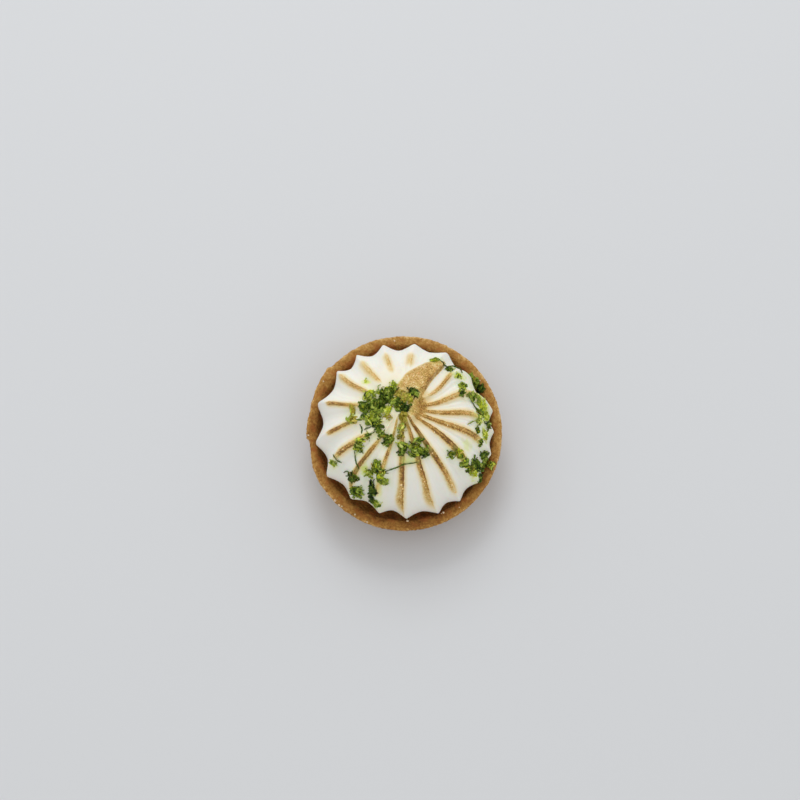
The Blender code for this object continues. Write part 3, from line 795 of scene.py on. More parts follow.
bent = bumps(grid.reshape(-1, 3), STAIN_BENDS_PER_MM, shift=31.0).reshape(grid.shape[:2])
stained = np.zeros(grid.shape[:2])
for x, y, half_x, half_y, _, _, _ in CLUMPS:
    beside_x = np.maximum(np.abs(grid[..., 0] - x) - half_x, 0.0)
    beside_y = np.maximum(np.abs(grid[..., 1] - y) - half_y, 0.0)
    away = np.hypot(beside_x, beside_y) / HALO_MM
    stained = np.maximum(stained, HALO * (1.0 + bent) * np.exp(-(away**2)))
for x, y, half_x, half_y, strength in STAINS:
    away = np.hypot((grid[..., 0] - x) / half_x, (grid[..., 1] - y) / half_y) + STAIN_BEND * bent
    stained = np.maximum(stained, strength * (1.0 - smooth_step(*STAIN_FADE, away)))
print("stained share of the meringue:", round(float((stained > LOOKS_GREEN).mean()), 3))

# %% The meringue piece
# The last two numbers of each mark are for the middle points of the underside and of the top.
points, faces = closed_stack(grid, (*DOME_CENTRE, SKIRT[0][1]), dome[-1].mean(axis=0))
marks = {
    # On the skirt this mark holds painted bounce light, not browning.
    "browned": np.append(brown_and_bounce_grid, (0.0, brown_and_bounce_grid[-1].mean())),
    "lime": np.append(stained, (0.0, 0.0)),
}
meringue = make_piece("piped_meringue", points, faces, meringue_look, marks)
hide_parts("meringue")

# %% [markdown]
# ## The pastry case
# Sweet short pastry pressed into a ring and baked: a straight wall that widens upwards, a flat crumbly rim,
# and a flake and a broken place on its left edge. The solid's section is rounded by cutting its corners,
# turned round the middle in many more columns, and each point is pushed in or out by coarse crumb and fine
# grain.

# %% Sizes of the case, as in the solid
RIM_HALF_X = 40.2
RIM_HALF_Y = 41.2
RIM_HEIGHT = 20.0
FOOT_INSET = 5.6
FOOT_ROUND = 0.9
WALL_THICKNESS = 4.4
WALL_RING_HEIGHTS = (6.0, 11.5)
CROWN_ROUND = 0.9
CROWN_DIP = 0.2
WELL_FLOOR = 14.8
WELL_INSET = 2.6
LIP_THICKNESS = 3.0
LIP_BLEND = 0.7
COARSE_CRUMB = 0.45
FINE_GRAIN = 1.3
# How far the lip's outer edge stands out or in, as (angle, millimetres).
RIM_EDGE = (
    (0.0, 0.0), (95.0, 0.0), (137.0, 0.4), (139.0, 1.4), (150.0, 0.7), (166.0, -0.3), (170.0, -0.4),
    (171.5, 0.0), (184.0, 0.0), (185.5, -1.5), (192.0, -1.1), (202.0, 0.0), (360.0, 0.0),
)
print("case:", 2 * RIM_HALF_X, "by", 2 * RIM_HALF_Y, "by", RIM_HEIGHT, "mm")


# %% The case's section
# The corners of the rim and of the well, as shares of the rounding, the wall or the well's inset.
CROWN_CORNER = 0.8
CROWN_MIDDLE = 0.65
WELL_EDGE_DROP = 1.2
WELL_SLOPE_IN = 0.3
WELL_SLOPE_DROP = 3.0


def case_section(angle_deg):
    """The solid's section at an angle, as (radius, height), from the underside over the rim to the well."""
    angle = math.radians(angle_deg)
    rim = RIM_HALF_X * RIM_HALF_Y / math.hypot(RIM_HALF_Y * math.cos(angle), RIM_HALF_X * math.sin(angle))
    outer = rim + np.interp(angle_deg, *np.array(RIM_EDGE).T)
    inner = rim - WALL_THICKNESS
    below_lip = RIM_HEIGHT - LIP_THICKNESS - LIP_BLEND
    lip_corner = RIM_HEIGHT - LIP_THICKNESS + LIP_BLEND

    def wall(level):
        return rim - FOOT_INSET * (1.0 - level / RIM_HEIGHT)

    foot = [(wall(0.0) - FOOT_ROUND, 0.0), (wall(FOOT_ROUND), FOOT_ROUND)]
    side = [(wall(level), level) for level in (*WALL_RING_HEIGHTS, below_lip)]
    lip = [(wall(lip_corner) + outer - rim, lip_corner), (outer, RIM_HEIGHT - CROWN_ROUND)]
    crown = [
        (outer - CROWN_CORNER * CROWN_ROUND, RIM_HEIGHT),
        (rim - CROWN_MIDDLE * WALL_THICKNESS, RIM_HEIGHT - CROWN_DIP),
    ]
    well = [
        (inner, RIM_HEIGHT - WELL_EDGE_DROP * CROWN_ROUND),
        (inner - WELL_SLOPE_IN * WELL_INSET, RIM_HEIGHT - WELL_SLOPE_DROP * CROWN_ROUND),
        (inner - WELL_INSET, WELL_FLOOR),
    ]
    return np.array(foot + side + lip + crown + well)


# %% A finer section
CASE_FINE_COLUMNS = 760
SECTION_POINTS = 84
CORNER_CUT = 0.25


def rounded(section):
    """Cuts every corner of a section once, keeping its two ends."""
    near = (1 - CORNER_CUT) * section[:-1] + CORNER_CUT * section[1:]
    far = CORNER_CUT * section[:-1] + (1 - CORNER_CUT) * section[1:]
    cut = np.stack([near, far], axis=1).reshape(-1, 2)
    return np.concatenate([section[:1], cut[1:-1], section[-1:]])


def gone_along(line):
    """How far along a flat line each of its points lies."""
    return np.append(0.0, np.cumsum(np.hypot(*np.diff(line, axis=0).T)))


def evenly(line, count):
    """The same flat line with its points evenly spaced."""
    gone = gone_along(line)
    wanted = np.linspace(0.0, gone[-1], count)
    return np.stack([np.interp(wanted, gone, line[:, 0]), np.interp(wanted, gone, line[:, 1])], axis=1)


case_angles = 360.0 * np.arange(CASE_FINE_COLUMNS) / CASE_FINE_COLUMNS
sections = np.array([evenly(rounded(case_section(angle)), SECTION_POINTS) for angle in case_angles])
turned = np.radians(case_angles)[None, :]
radii, levels = sections[..., 0].T, sections[..., 1].T
case_grid = np.stack([radii * np.cos(turned), radii * np.sin(turned), levels], axis=-1)
print("case grid:", case_grid.shape)

# %% [markdown]
# The grain: coarse crumb as in the solid, then grains of half a millimetre, and a few deeper pits. The flat
# underside stays flat, and the well's floor is left alone, because the meringue stands on it.

# %% Crumb and grain
CRUMB_DEPTH = 0.18
GRAIN_DEPTH = 0.14
GRAINS_PER_MM = 2.1
DUST_PER_MM = 4.2
DUST_SHARE = 0.6
PIT_DEPTH = 0.26
PITS = (0.35, 0.75)
PLAIN_ROWS_BELOW = 4
PLAIN_ROWS_IN_WELL = 8

case_flat = case_grid.reshape(-1, 3)
coarse = bumps(case_flat, COARSE_CRUMB) + bumps(case_flat, FINE_GRAIN)
grain = bumps(case_flat, GRAINS_PER_MM, shift=3.0) + DUST_SHARE * bumps(case_flat, DUST_PER_MM, shift=8.0)
pits = smooth_step(*PITS, bumps(case_flat, 1.0, shift=21.0))
push = CRUMB_DEPTH * coarse + GRAIN_DEPTH * grain - PIT_DEPTH * pits
push = push.reshape(case_grid.shape[:2])
row = np.arange(SECTION_POINTS)[:, None]
in_well = smooth_step(SECTION_POINTS - PLAIN_ROWS_IN_WELL, SECTION_POINTS - 1, row)
loose = smooth_step(0, PLAIN_ROWS_BELOW, row) * (1 - in_well)
case_grid = case_grid + outward_of(case_grid) * (push * loose)[..., None]
case_grid[..., 2] = np.maximum(case_grid[..., 2], 0.0)
print("crumb and grain:", round(float(push.min()), 2), "to", round(float(push.max()), 2), "mm")

# %% [markdown]
# ## The pastry's finish
# Baked biscuit is golden to mid brown, darker in its pores and inside the rim, paler and crumbly where its
# outer edge was rubbed against the ring. It is paler on the far side, towards the lamp, than on the near one:
# partly uneven baking and partly painted light; rows of an angle and a paleness say how much. Those are
# numbers painted on the points; cells give the grains, and noise of several sizes the patches and the dust.

# %% Pastry finish
BAKED = (
    (0.0, (92, 50, 18)),
    (0.25, (130, 84, 34)),
    (0.5, (163, 116, 54)),
    (0.75, (190, 145, 78)),
    (1.0, (220, 184, 124)),
)
RUSSET = (168, 96, 46)
TONE_BY_PATCHES = 0.7
TONE_BY_MOTTLE = 0.8
TONE_BY_DUST = 0.5
TONE_BY_GRAINS = 0.25
GRAIN_MIDDLE = 0.45
DARKER_ALL_OVER = 0.08
DARKER_TOASTED = 0.15
PALER_SIDE_AND_PAINTED_LIGHT = 0.2
RUBBED_PALER = 0.05
RUBBED_SPOTS_PALER = 0.4
RUBBED_SPOTS = (0.42, 0.62)
RUSSET_SHARE = 0.15
RUSSET_TOASTED_SHARE = 0.6
RUSSET_PATCHES = (0.45, 0.65)
PASTRY_ROUGHNESS = 0.78
DUST_ROUGHNESS = 0.2
DUST_RELIEF = 0.8
GRAIN_RELIEF = 0.7


def pastry_finish():
    """Golden to mid brown in patches, paler where rubbed, and redder where it baked most."""
    finish, shader, start = new_finish("baked_sweet_pastry", roughness=0.85, specular=0.25)
    where = places(start)
    rubbed = painted(start, "rubbed")
    toasted = painted(start, "toasted")
    pale_side_and_painted_light = painted(start, "pale_side_and_painted_light")
    grains = cells(where, per_mm=2.6)
    dust = cloud(where, per_mm=3.4, detail=4.0)
    patches = cloud(where, per_mm=0.22, detail=4.0)
    mottle = cloud(where, per_mm=0.75, detail=3.0)
    tone = 0.5 + TONE_BY_PATCHES * (patches - 0.5) + TONE_BY_MOTTLE * (mottle - 0.5)
    tone = tone + TONE_BY_DUST * (dust - 0.5) + TONE_BY_GRAINS * (GRAIN_MIDDLE - grains)
    spots = cloud(where, per_mm=1.2).between(*RUBBED_SPOTS)
    worn = rubbed * (RUBBED_PALER + RUBBED_SPOTS_PALER * spots)
    # The far side is made paler: partly uneven baking, partly painted light from the lamp's side.
    tone = tone - DARKER_ALL_OVER + worn + PALER_SIDE_AND_PAINTED_LIGHT * pale_side_and_painted_light - DARKER_TOASTED * toasted
    redder = cloud(where, per_mm=0.3, detail=3.0).between(*RUSSET_PATCHES)
    russet = (RUSSET_SHARE + RUSSET_TOASTED_SHARE * toasted) * redder
    feed(shader, "Base Color", mixed(russet, ramped(tone, BAKED), linear(*RUSSET)))
    feed(shader, "Roughness", PASTRY_ROUGHNESS + DUST_ROUGHNESS * dust)
    raised(shader, dust * DUST_RELIEF + (1 - grains) * GRAIN_RELIEF, depth_mm=0.24)
    return finish


pastry_look = pastry_finish()

# %% The pastry piece
# How pale each side is, as (angle, paleness): partly uneven baking and partly painted light, palest on the
# far side, towards the lamp.
PALE_AND_PAINTED_LIGHT_ROUND = (
    (0.0, 0.75), (35.0, 1.20), (90.0, 1.35), (140.0, 1.25), (180.0, 0.40),
    (220.0, 0.75), (250.0, 0.20), (280.0, 0.00), (315.0, 0.25), (360.0, 0.75),
)
RUB_SPREAD = 0.045
TOAST_START = 0.02
TOAST_END = 0.2
share_up = row / (SECTION_POINTS - 1.0)
outer_corner = sections[..., 0].argmax(axis=1) / (SECTION_POINTS - 1.0)
rub = np.exp(-(((share_up - outer_corner) / RUB_SPREAD) ** 2))
toast = smooth_step(outer_corner + TOAST_START, outer_corner + TOAST_END, share_up)
pale = np.broadcast_to(np.interp(case_angles, *np.array(PALE_AND_PAINTED_LIGHT_ROUND).T), rub.shape)
case_points, case_faces = closed_stack(case_grid, (0.0, 0.0, 0.0), (0.0, 0.0, WELL_FLOOR))
case_marks = {
    "rubbed": np.append(rub, (0.0, 0.0)),
    "toasted": np.append(toast, (0.0, 1.0)),
    "pale_side_and_painted_light": np.append(pale, (0.5, 0.5)),
}
case = make_piece("baked_case", case_points, case_faces, pastry_look, case_marks)
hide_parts("pastry_case")

# %% [markdown]
# ## Shredded mint and lime zest
# The garnish is finely cut: scraps of leaf about a millimetre wide with notched, ruffled edges, fine curls,
# and paler yellow-green zest; some of the leaf near the top has turned olive. Each sliver is a thin strip
# that wanders over the meringue, rises and dips, and twists. To lay it on the real surface, a ray is cast
# down for its middle, and from there one ray for every step, against the way out of the dome. The way out is
# taken from the dome's heart, because the ridges' own faces would throw neighbours apart at each crest.

# %% What the garnish lies on
def surface_of(*pieces):
    """The faces of pieces as one tree that rays can be cast on, in millimetres."""
    all_points, all_faces = [], []
    for piece in pieces:
        first = len(all_points)
        all_points += [vertex.co / MM for vertex in piece.data.vertices]
        all_faces += [[first + i for i in face.vertices] for face in piece.data.polygons]
    return BVHTree.FromPolygons(all_points, all_faces)


ground = surface_of(meringue, case)
ABOVE = 90.0
DOME_HEART = Vector((*DOME_CENTRE, 6.0))
STAND_OFF = 3.0
SEARCH = 7.5
print("faces under the garnish:", len(meringue.data.polygons) + len(case.data.polygons))


def drop(x, y):
    """The place under a place on plan, and the way out: from the dome's heart, or straight up on the case."""
    hit, _, face, _ = ground.ray_cast(Vector((x, y, ABOVE)), Vector((0.0, 0.0, -1.0)))
    if hit is None:
        return None, None
    on_dome = face < len(meringue.data.polygons)
    return hit, (hit - DOME_HEART).normalized() if on_dome else Vector((0.0, 0.0, 1.0))


def settle(place, out):
    """The place on the tartlet under a place near it, looking against the way out."""
    return ground.ray_cast(place + out * STAND_OFF, -out, SEARCH)[0]


# %% [markdown]
# A sliver's section has six corners, three above and three below, so that its two edges can ruffle on their
# own. Sections are joined into one closed skin, so each sliver is a true thin solid.

# %% One sliver
SLIVER_CORNERS = 6
NOTCH_DEPTH = 0.42
KEEL = 0.16
EDGE_TURNS = 2.6
EDGE_SHIFT = 1.0
LIFT_TURNS = 2.0
TAPER_START = 0.05
TAPER_SPAN = 0.9


def sliver(line, normals, width, thickness, twist, ruffle, lobes, phase):
    """Points, faces and edge marks of a thin strip along a line: lobed, ruffled edges and a keel between."""
    line, normals = np.array(line), np.array(normals)
    count = len(line)
    ahead = np.gradient(line, axis=0)
    ahead /= np.maximum(np.linalg.norm(ahead, axis=1, keepdims=True), TINY)
    side = np.cross(normals, ahead)
    side /= np.maximum(np.linalg.norm(side, axis=1, keepdims=True), TINY)
    s = np.linspace(0.0, 1.0, count)
    roll = (phase + twist * s)[:, None]
    across = side * np.cos(roll) + np.cross(ahead, side) * np.sin(roll)
    through = np.cross(ahead, across)
    taper = np.sqrt(np.clip(np.sin(math.pi * (TAPER_START + TAPER_SPAN * s)), 0.0, 1.0))
    thick = 0.5 * thickness * through
    keel = line - KEEL * width * through

    def edge_line(way, start):
        lobed = 1.0 - NOTCH_DEPTH * (1.0 - np.abs(np.sin(math.pi * lobes * s + start)))
        lift = ruffle * np.sin(math.pi * lobes * s + LIFT_TURNS * start)
        return line + across * (way * 0.5 * width * taper * lobed)[:, None] + lift[:, None] * through

    left, right = edge_line(-1.0, phase), edge_line(1.0, EDGE_TURNS * phase + EDGE_SHIFT)
    below = (left - 0.5 * thick, keel - thick, right - 0.5 * thick)
    above = (right + 0.5 * thick, keel + thick, left + 0.5 * thick)
    points = np.stack(below + above, axis=1).reshape(-1, 3)
    last = len(points) - SLIVER_CORNERS
    faces = ring_quads(count, SLIVER_CORNERS) + [(5, 4, 1, 0), (4, 3, 2, 1)]
    faces += [(last, last + 1, last + 4, last + 5), (last + 1, last + 2, last + 3, last + 4)]
    edge = np.tile((1.0, 0.0, 1.0, 1.0, 0.0, 1.0), count)
    return points, faces, edge

# %% A kind of garnish gathers its slivers
class Garnish:
    """All slivers of one colour, gathered into one piece."""

    def __init__(self, name, finish):
        self.name, self.finish = name, finish
        self.points, self.faces, self.tones, self.edges = [], [], [], []

    def add(self, points, faces, edge, tone):
        first = sum(len(p) for p in self.points)
        self.points.append(points)
        self.faces += [tuple(first + i for i in face) for face in faces]
        self.tones.append(np.full(len(points), tone))
        self.edges.append(edge)

    def finish_piece(self):
        marks = {"tone": np.concatenate(self.tones), "edge": np.concatenate(self.edges)}
        points = np.concatenate(self.points)
        piece = make_piece(self.name, points, self.faces, self.finish, marks)
        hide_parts("meringue")


# %% The garnish's finish
LEAF_ROUGHNESS = 0.5
LEAF_UNEVEN_SHINE = 0.2
LEAF_LEAST = 0.1
LEAF_BY_TONE = 0.8
LEAF_BY_MOTTLE = 0.4
LEAF_EDGE_DARKER = 0.12
LEAF_VEIN_PALER = 0.1


def leaf_finish(name, dark, mid, pale):
    """Cut leaf or zest: its own green, darker at its cut edges, with pale veins, and a soft shine."""
    finish, shader, start = new_finish(name, LEAF_ROUGHNESS, specular=0.25, subsurface=0.1, subsurface_mm=0.4)
    where = places(start)
    tone = painted(start, "tone")
    edge = painted(start, "edge")
    veins = cells(where, per_mm=1.8, feature="DISTANCE_TO_EDGE")
    mottle = cloud(where, per_mm=1.3, detail=3.0)
    pale_vein = 1 - veins.between(0.0, 0.1)
    lightness = LEAF_LEAST + LEAF_BY_TONE * tone + LEAF_BY_MOTTLE * (mottle - 0.5)
    lightness = lightness - LEAF_EDGE_DARKER * edge.between(0.5, 1.0) + LEAF_VEIN_PALER * pale_vein
    feed(shader, "Base Color", ramped(lightness, ((0.05, dark), (0.5, mid), (0.95, pale))))
    feed(shader, "Roughness", LEAF_ROUGHNESS + LEAF_UNEVEN_SHINE * (mottle - 0.5))
    raised(shader, veins.between(0.0, 0.2) + 0.4 * mottle, depth_mm=0.1)
    return finish


# %% The kinds of garnish
# The darkest, the middle and the palest colour of each.
GREENS = {
    "dark_mint": ((30, 48, 2), (84, 112, 16), (168, 188, 72)),
    "fresh_mint": ((88, 112, 10), (160, 180, 58), (222, 230, 130)),
    "lime_zest": ((162, 176, 10), (208, 222, 48), (240, 246, 124)),
    "olive_mint": ((92, 84, 6), (168, 154, 36), (218, 202, 96)),
}
KINDS = [Garnish(name + "_shreds", leaf_finish(name, *greens)) for name, greens in GREENS.items()]
dark_mint, fresh_mint = KINDS[:2]

# %% [markdown]
# A few long strands lie between the clumps, each through a few places on plan.

# %% Where the strands lie
STRANDS = (
    (dark_mint, ((-8.4, -21.4), (-5.1, -19.9), (-1.6, -19.2), (1.4, -18.0), (5.2, -17.6))),
    (dark_mint, ((-17.7, -2.5), (-16.5, -4.3), (-17.2, -6.2))),
    (dark_mint, ((-16.0, -4.7), (-13.1, -3.7))),
    (dark_mint, ((-11.7, -5.9), (-14.2, -7.4), (-16.2, -8.7), (-17.7, -10.1))),
    (dark_mint, ((-19.9, -12.6), (-19.4, -15.0), (-18.9, -17.6), (-17.9, -19.6))),
    (dark_mint, ((-28.6, -12.2), (-27.7, -14.5), (-25.0, -16.0))),
    (dark_mint, ((-16.6, 7.6), (-16.2, 9.4), (-14.8, 10.5), (-12.6, 10.2))),
    (fresh_mint, ((10.9, 24.5), (12.1, 27.0), (14.1, 25.9))),
    (dark_mint, ((14.1, 25.9), (15.7, 24.4), (17.3, 23.4), (19.3, 25.0), (21.8, 24.6), (23.4, 22.0))),
    (dark_mint, ((27.1, 9.4), (28.3, 7.2), (30.8, 4.1))),
    (fresh_mint, ((25.4, -0.9), (27.6, 0.8), (30.4, 1.7))),
    (fresh_mint, ((-2.8, -5.4), (-0.5, -5.5), (0.8, -3.8))),
    (dark_mint, ((-24.3, -19.2), (-23.4, -18.6), (-21.8, -19.6), (-21.7, -21.1), (-23.4, -20.4))),
)
print("strands:", len(STRANDS))

# %% [markdown]
# Two cuts are mixed: narrow curls, which bend tightly as they go, and wider scraps of leaf, whose edges are
# notched and ruffle strongly. In the middle of a clump they start at any heading, and those near its edge
# point outwards and lie lower, so that its outline is ragged. All keep turning one way, so that some close
# into little loops. Slivers that lie near each other are alike in colour, as bits of one leaf are, so soft
# noise on plan decides which kind a place favours and how light it is. Slivers higher in a clump also get a
# lighter tone: painted light for a heap's lit top and shaded depths. More noise bends and breaks up the
# clumps' outlines.

# %% How the slivers differ
rng = np.random.default_rng(18)
SLIVER_STEPS = 12
THICKNESS = 0.16
# Length, width, bend in radians a millimetre, height of the ruffles and number of lobes.
CURL_CUT = ((2.0, 5.0), (0.32, 0.60), (0.4, 1.5), 0.06, 1.0)
SCRAP_CUT = ((1.8, 4.4), (0.9, 1.9), (0.1, 0.7), 0.22, 2.5)
CURL_SHARE = 0.35
HEADING_WANDER = 0.16
LOWEST_LEVEL = 0.05
LEVEL_POWER = 1.2
LEAST_HEAP = 0.1
WAVE_MM = 0.45
WAVES = (1.0, 2.5)
ARCH_START = 0.12
ARCH_SPAN = 0.76
CLEAR_BY = 0.12
BIGGEST_DROP = 0.5
MOST_TWIST = 2.0
BASE_TONE = 0.3
TONE_PATCHES = 0.6
TONE_PATCHES_PER_MM = 0.9
PAINTED_LIGHT_BY_LEVEL = 0.4
TONE_SPREAD = 0.18


# %% One sliver laid down
def patchy(x, y, per_mm, shift):
    """Soft noise on plan from about -1 to 1, alike for neighbours."""
    return noise.noise(Vector((x * per_mm, y * per_mm, shift)))


def curled_plan(heading, bend, step):
    """A sliver's middle line on plan: it keeps turning and wanders, with its own middle at zero."""
    plan = np.zeros((SLIVER_STEPS + 1, 2))
    for i in range(1, SLIVER_STEPS + 1):
        heading += bend * step + rng.normal(0.0, HEADING_WANDER)
        plan[i] = plan[i - 1] + np.array((math.cos(heading), math.sin(heading))) * step
    return plan - plan.mean(axis=0)


def lay_sliver(kind, x, y, heading, heaped, lighter):
    """Lays one curled sliver with its middle near a place, at some height in its clump."""
    lengths, widths, bends, ruffle, lobes = CURL_CUT if rng.uniform() < CURL_SHARE else SCRAP_CUT
    step = rng.uniform(*lengths) / SLIVER_STEPS
    width = rng.uniform(*widths)
    bend = rng.uniform(*bends) * rng.choice((-1.0, 1.0))
    level = heaped * rng.uniform(LOWEST_LEVEL, 1.0) ** LEVEL_POWER
    plan = curled_plan(heading, bend, step)
    middle, out = drop(x, y)
    if middle is None:
        return
    sideways = out.orthogonal().normalized()
    onwards = out.cross(sideways)
    under = [settle(middle + sideways * u + onwards * v, out) for u, v in plan]
    if None in under or max((a - b).length for a, b in zip(under, under[1:])) > step + BIGGEST_DROP:
        return
    waves = rng.uniform(*WAVES)
    turn = rng.uniform(0.0, math.tau)
    line = []
    for i, hit in enumerate(under):
        s = i / SLIVER_STEPS
        raised_by = max(level + WAVE_MM * math.sin(waves * math.tau * s + turn), 0.0)
        arch = math.sin(math.pi * (ARCH_START + ARCH_SPAN * s))
        line.append(hit + out * (raised_by * arch + CLEAR_BY))
    twist = rng.uniform(-MOST_TWIST, MOST_TWIST)
    points, faces, edge = sliver(line, [out] * len(line), width, THICKNESS, twist, ruffle, lobes, turn)
    tone = BASE_TONE + lighter + TONE_PATCHES * patchy(x, y, TONE_PATCHES_PER_MM, shift=40.0)
    # Painted light: higher slivers get a lighter tone, since a heap's top is lit and its depths are in shade.
    tone += PAINTED_LIGHT_BY_LEVEL * level / max(heaped, LEAST_HEAP) + rng.normal(0.0, TONE_SPREAD)
    kind.add(points, faces, edge, tone)


# %% All clumps
SLIVERS_EACH = 1.8
REACH = 0.84
RAGGED = 0.9
ARMS = 1.3
POINTS_OUT = 0.55
POINTING_SPREAD = 0.5
LOWER_OUTSIDE = 0.6
OUTLINE_BEND_MM = 1.0
OUTLINE_BENDS_PER_MM = 0.45
COLOUR_PATCHES = 2.2
COLOUR_PATCHES_PER_MM = 0.55
KINDS_APART = 7.0

for x, y, half_x, half_y, heaped, count, (shares, lighter) in CLUMPS:
    for _ in range(int(SLIVERS_EACH * count)):
        round_it = rng.uniform(0.0, math.tau)
        to_x, to_y = math.cos(round_it), math.sin(round_it)
        ragged = RAGGED * patchy(x + ARMS * to_x, y + ARMS * to_y, 1.0, shift=70.0)
        away = math.sqrt(rng.uniform(0.0, 1.0)) * (REACH + ragged)
        heading = rng.uniform(0.0, math.tau)
        if away > POINTS_OUT:
            heading = math.atan2(half_y * to_y, half_x * to_x) + rng.normal(0.0, POINTING_SPREAD)
        spot_x = x + half_x * away * to_x
        spot_y = y + half_y * away * to_y
        bend_x = OUTLINE_BEND_MM * patchy(spot_x, spot_y, OUTLINE_BENDS_PER_MM, shift=50.0)
        bend_y = OUTLINE_BEND_MM * patchy(spot_x, spot_y, OUTLINE_BENDS_PER_MM, shift=60.0)
        shifts = [KINDS_APART * i for i in range(len(KINDS))]
        patches = [patchy(spot_x, spot_y, COLOUR_PATCHES_PER_MM, shift) for shift in shifts]
        chances = np.array(shares) * [math.exp(COLOUR_PATCHES * patch) for patch in patches]
        kind = KINDS[rng.choice(len(KINDS), p=chances / chances.sum())]
        sinks = 1.0 - LOWER_OUTSIDE * min(away, 1.0)
        lay_sliver(kind, spot_x + bend_x, spot_y + bend_y, heading, heaped * sinks, lighter)
print("slivers:", sum(len(kind.points) for kind in KINDS))

# %% Single strands
STRAND_STEP = 0.5
STRAND_LEAST_POINTS = 8
STRAND_SOFTENINGS = 3
STRAND_LIFT = 0.25
STRAND_WIDTH = 0.65
STRAND_THICKNESS = 0.3
STRAND_TWIST = 3.0
STRAND_RUFFLE = 0.12
STRAND_LOBE_MM = 1.6
STRAND_TONE = 0.35


def lay_strand(kind, route):
    """Lays one long thin strand through given places."""
    length = gone_along(route)[-1]
    count = max(STRAND_LEAST_POINTS, int(length / STRAND_STEP))
    plan = evenly(route, count)
    for _ in range(STRAND_SOFTENINGS):
        plan[1:-1] = (plan[:-2] + 2 * plan[1:-1] + plan[2:]) / 4
    line, ways_out = [], []
    for i, (x, y) in enumerate(plan):
        hit, out = drop(x, y)
        if hit is None:
            return
        line.append(hit + out * (STRAND_LIFT + STRAND_LIFT * math.sin(math.pi * i / (count - 1))))
        ways_out.append(out)
    lobes = length / STRAND_LOBE_MM
    strip = sliver(line, ways_out, STRAND_WIDTH, STRAND_THICKNESS, STRAND_TWIST, STRAND_RUFFLE, lobes, length)
    kind.add(*strip, STRAND_TONE)


for kind, route in STRANDS:
    lay_strand(kind, np.array(route))
for kind in KINDS:
    kind.finish_piece()

# %% [markdown]
# ## Crumbs and beads
# A few pale crumbs have fallen off: two at the tips of the near ridges and some along the lower left of the
# rim. Where the sugar melted under the flame, tiny golden beads stand on the marks and catch the light; their
# pale colour is partly a painted highlight. Both are small lumps: a ball of rings whose points move in and
# out by noise, set a little into what they lie on.

# %% Where the crumbs and beads lie
# Where each lies on plan, and its half width.
CRUMBS = (
    (1.5, -37.0, 0.50), (16.2, -33.4, 0.42), (15.3, -33.8, 0.25), (-31.2, -25.6, 0.42),
    (-28.0, -28.9, 0.50), (-26.4, -30.6, 0.45), (-25.2, -31.2, 0.25), (-19.8, -34.6, 0.34),
    (-14.9, -37.6, 0.30), (-33.3, 21.3, 0.34), (-39.2, -1.6, 0.40), (31.0, 22.0, 0.26),
    (22.6, -31.4, 0.24), (-4.2, 38.8, 0.30),
)
BEADS = (
    (-1.0, -26.0, 0.50), (-0.5, -27.4, 0.42), (-0.9, -29.6, 0.24), (23.8, -4.9, 0.30),
    (17.4, -2.8, 0.26), (12.1, -6.0, 0.36), (18.9, -9.6, 0.24), (18.7, -23.2, 0.34),
    (19.4, -24.6, 0.46), (20.2, -25.4, 0.36), (20.9, -26.8, 0.42), (11.3, -14.2, 0.34),
    (16.6, -20.6, 0.22), (-24.7, -11.8, 0.26), (6.9, -20.4, 0.24), (8.3, -24.6, 0.22),
)
print("crumbs:", len(CRUMBS), "beads:", len(BEADS))

# %% Lumps
LUMP_ROWS = 7
LUMP_COLUMNS = 9
SWELLS = 1.7
NOISE_APART = 3.1

down = math.pi * (1.0 - np.arange(1, LUMP_ROWS) / LUMP_ROWS)[:, None]
turn = (math.tau * np.arange(LUMP_COLUMNS) / LUMP_COLUMNS)[None, :]
ball_rings = np.broadcast_arrays(np.sin(down) * np.cos(turn), np.sin(down) * np.sin(turn), np.cos(down))
ball, ball_faces = closed_stack(np.stack(ball_rings, axis=-1), (0.0, 0.0, -1.0), (0.0, 0.0, 1.0))


def lumps(name, spots, finish, flatness, sunk, unevenness):
    """One piece of small uneven balls, each set into the surface under its spot."""
    points, faces = [], []
    for x, y, size in spots:
        hit, out = drop(x, y)
        middle = np.array(hit + out * size * flatness * (1.0 - 2.0 * sunk))
        own = Vector((x, y, size)) * NOISE_APART
        swell = [[1.0 + unevenness * noise.noise(Vector(point) * SWELLS + own)] for point in ball]
        faces += [[len(points) + i for i in face] for face in ball_faces]
        points += list(middle + ball * (1.0, 1.0, flatness) * size * swell)
    return make_piece(name, points, faces, finish)

# %% Crumb and bead finishes
def crumb_finish():
    """Dry pale biscuit."""
    finish, shader, start = new_finish("pale_crumb", roughness=0.8, subsurface=0.1, subsurface_mm=0.5)
    specks = cloud(places(start), per_mm=2.5, detail=3.0)
    feed(shader, "Base Color", ramped(specks, ((0.3, (206, 172, 122)), (0.7, (244, 230, 206)))))
    raised(shader, specks, depth_mm=0.15)
    return finish


def bead_and_glint_finish():
    """Golden sugar that has melted and set, glossy and a little uneven in its shine; its colour is paled
    towards cream, partly as a painted highlight.
    """
    finish, shader, start = new_finish("melted_sugar_and_painted_glint", roughness=0.14)
    tint = cloud(places(start), per_mm=1.5)
    # Painted highlight, in part: the pale cream stop makes each bead read as a glint.
    feed(shader, "Base Color", ramped(tint, ((0.35, (228, 186, 112)), (0.65, (252, 234, 184)))))
    feed(shader, "Roughness", 0.1 + 0.2 * tint)
    return finish


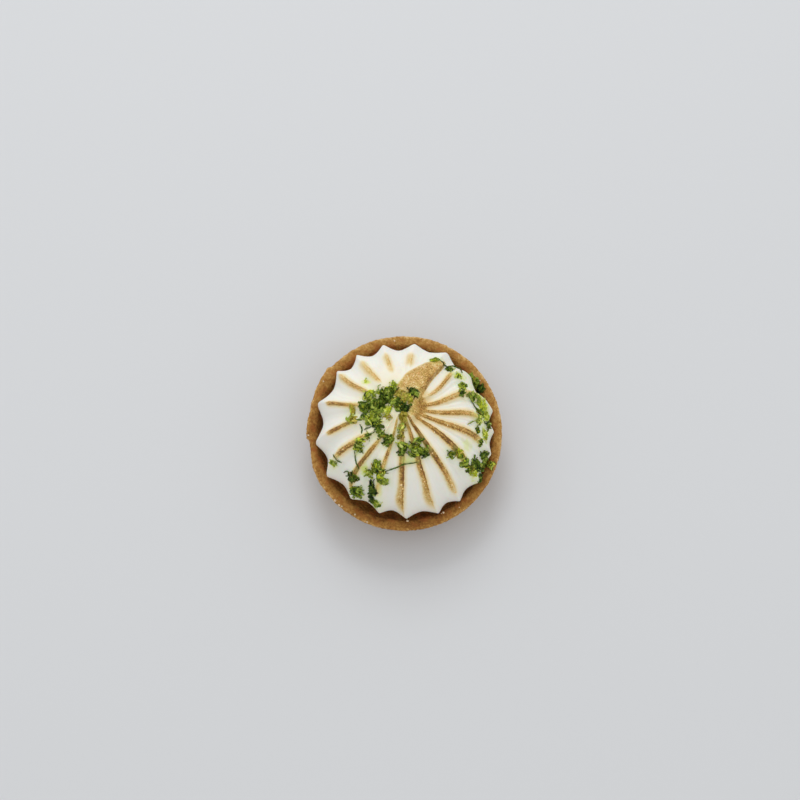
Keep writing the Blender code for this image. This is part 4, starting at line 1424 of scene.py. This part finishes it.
crumbs = lumps("pale_crumbs", CRUMBS, crumb_finish(), flatness=0.8, sunk=0.2, unevenness=0.7)
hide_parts("pastry_case")
beads = lumps("sugar_beads", BEADS, bead_and_glint_finish(), flatness=0.7, sunk=0.35, unevenness=0.3)
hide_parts("meringue")

# %% [markdown]
# ## Floor and light
# A plain pale floor, one large soft light high on the far side, since the shadows fall towards the near
# side, and an even glow all round that keeps that side from going dark.

# %% Floor
FLOOR_HALF = 3.0
FLOOR_BELOW = 0.0002
FLOOR_GREY = (0.66, 0.68, 0.71, 1.0)
floor_look, floor_shader, _ = new_finish("pale_floor", roughness=0.8)
floor_shader.inputs["Base Color"].default_value = FLOOR_GREY
corners = [(FLOOR_HALF * x, FLOOR_HALF * y, 0.0) for x, y in ((-1, -1), (1, -1), (1, 1), (-1, 1))]
floor_mesh = bpy.data.meshes.new("floor")
floor_mesh.from_pydata(corners, [], [(0, 1, 2, 3)])
floor_mesh.materials.append(floor_look)
floor = bpy.data.objects.new("floor", floor_mesh)
floor.location.z = -FLOOR_BELOW
scene.collection.objects.link(floor)
print("floor:", 2 * FLOOR_HALF, "m wide")

# %% Light
LIGHT_PLACE = Vector((-0.10, 0.87, 1.00))
LIGHT_SIZE = 0.6
LIGHT_WATTS = 4.6
GLOW_COLOUR = (1.0, 0.99, 0.97, 1.0)
GLOW_STRENGTH = 0.79
light = bpy.data.lights.new("far_light", "AREA")
light.shape = "SQUARE"
light.size = LIGHT_SIZE
light.energy = LIGHT_WATTS
lamp = bpy.data.objects.new("far_light", light)
lamp.location = LIGHT_PLACE
lamp.rotation_euler = (MIDDLE_OF_TARTLET - LIGHT_PLACE).to_track_quat("-Z", "Y").to_euler()
scene.collection.objects.link(lamp)
world = bpy.data.worlds.new("glow")
world.use_nodes = True
world.node_tree.nodes["Background"].inputs["Color"].default_value = GLOW_COLOUR
world.node_tree.nodes["Background"].inputs["Strength"].default_value = GLOW_STRENGTH
scene.world = world
scene.view_settings.view_transform = "Standard"
print("light at", [round(v, 2) for v in LIGHT_PLACE], "and an even glow of", GLOW_STRENGTH)
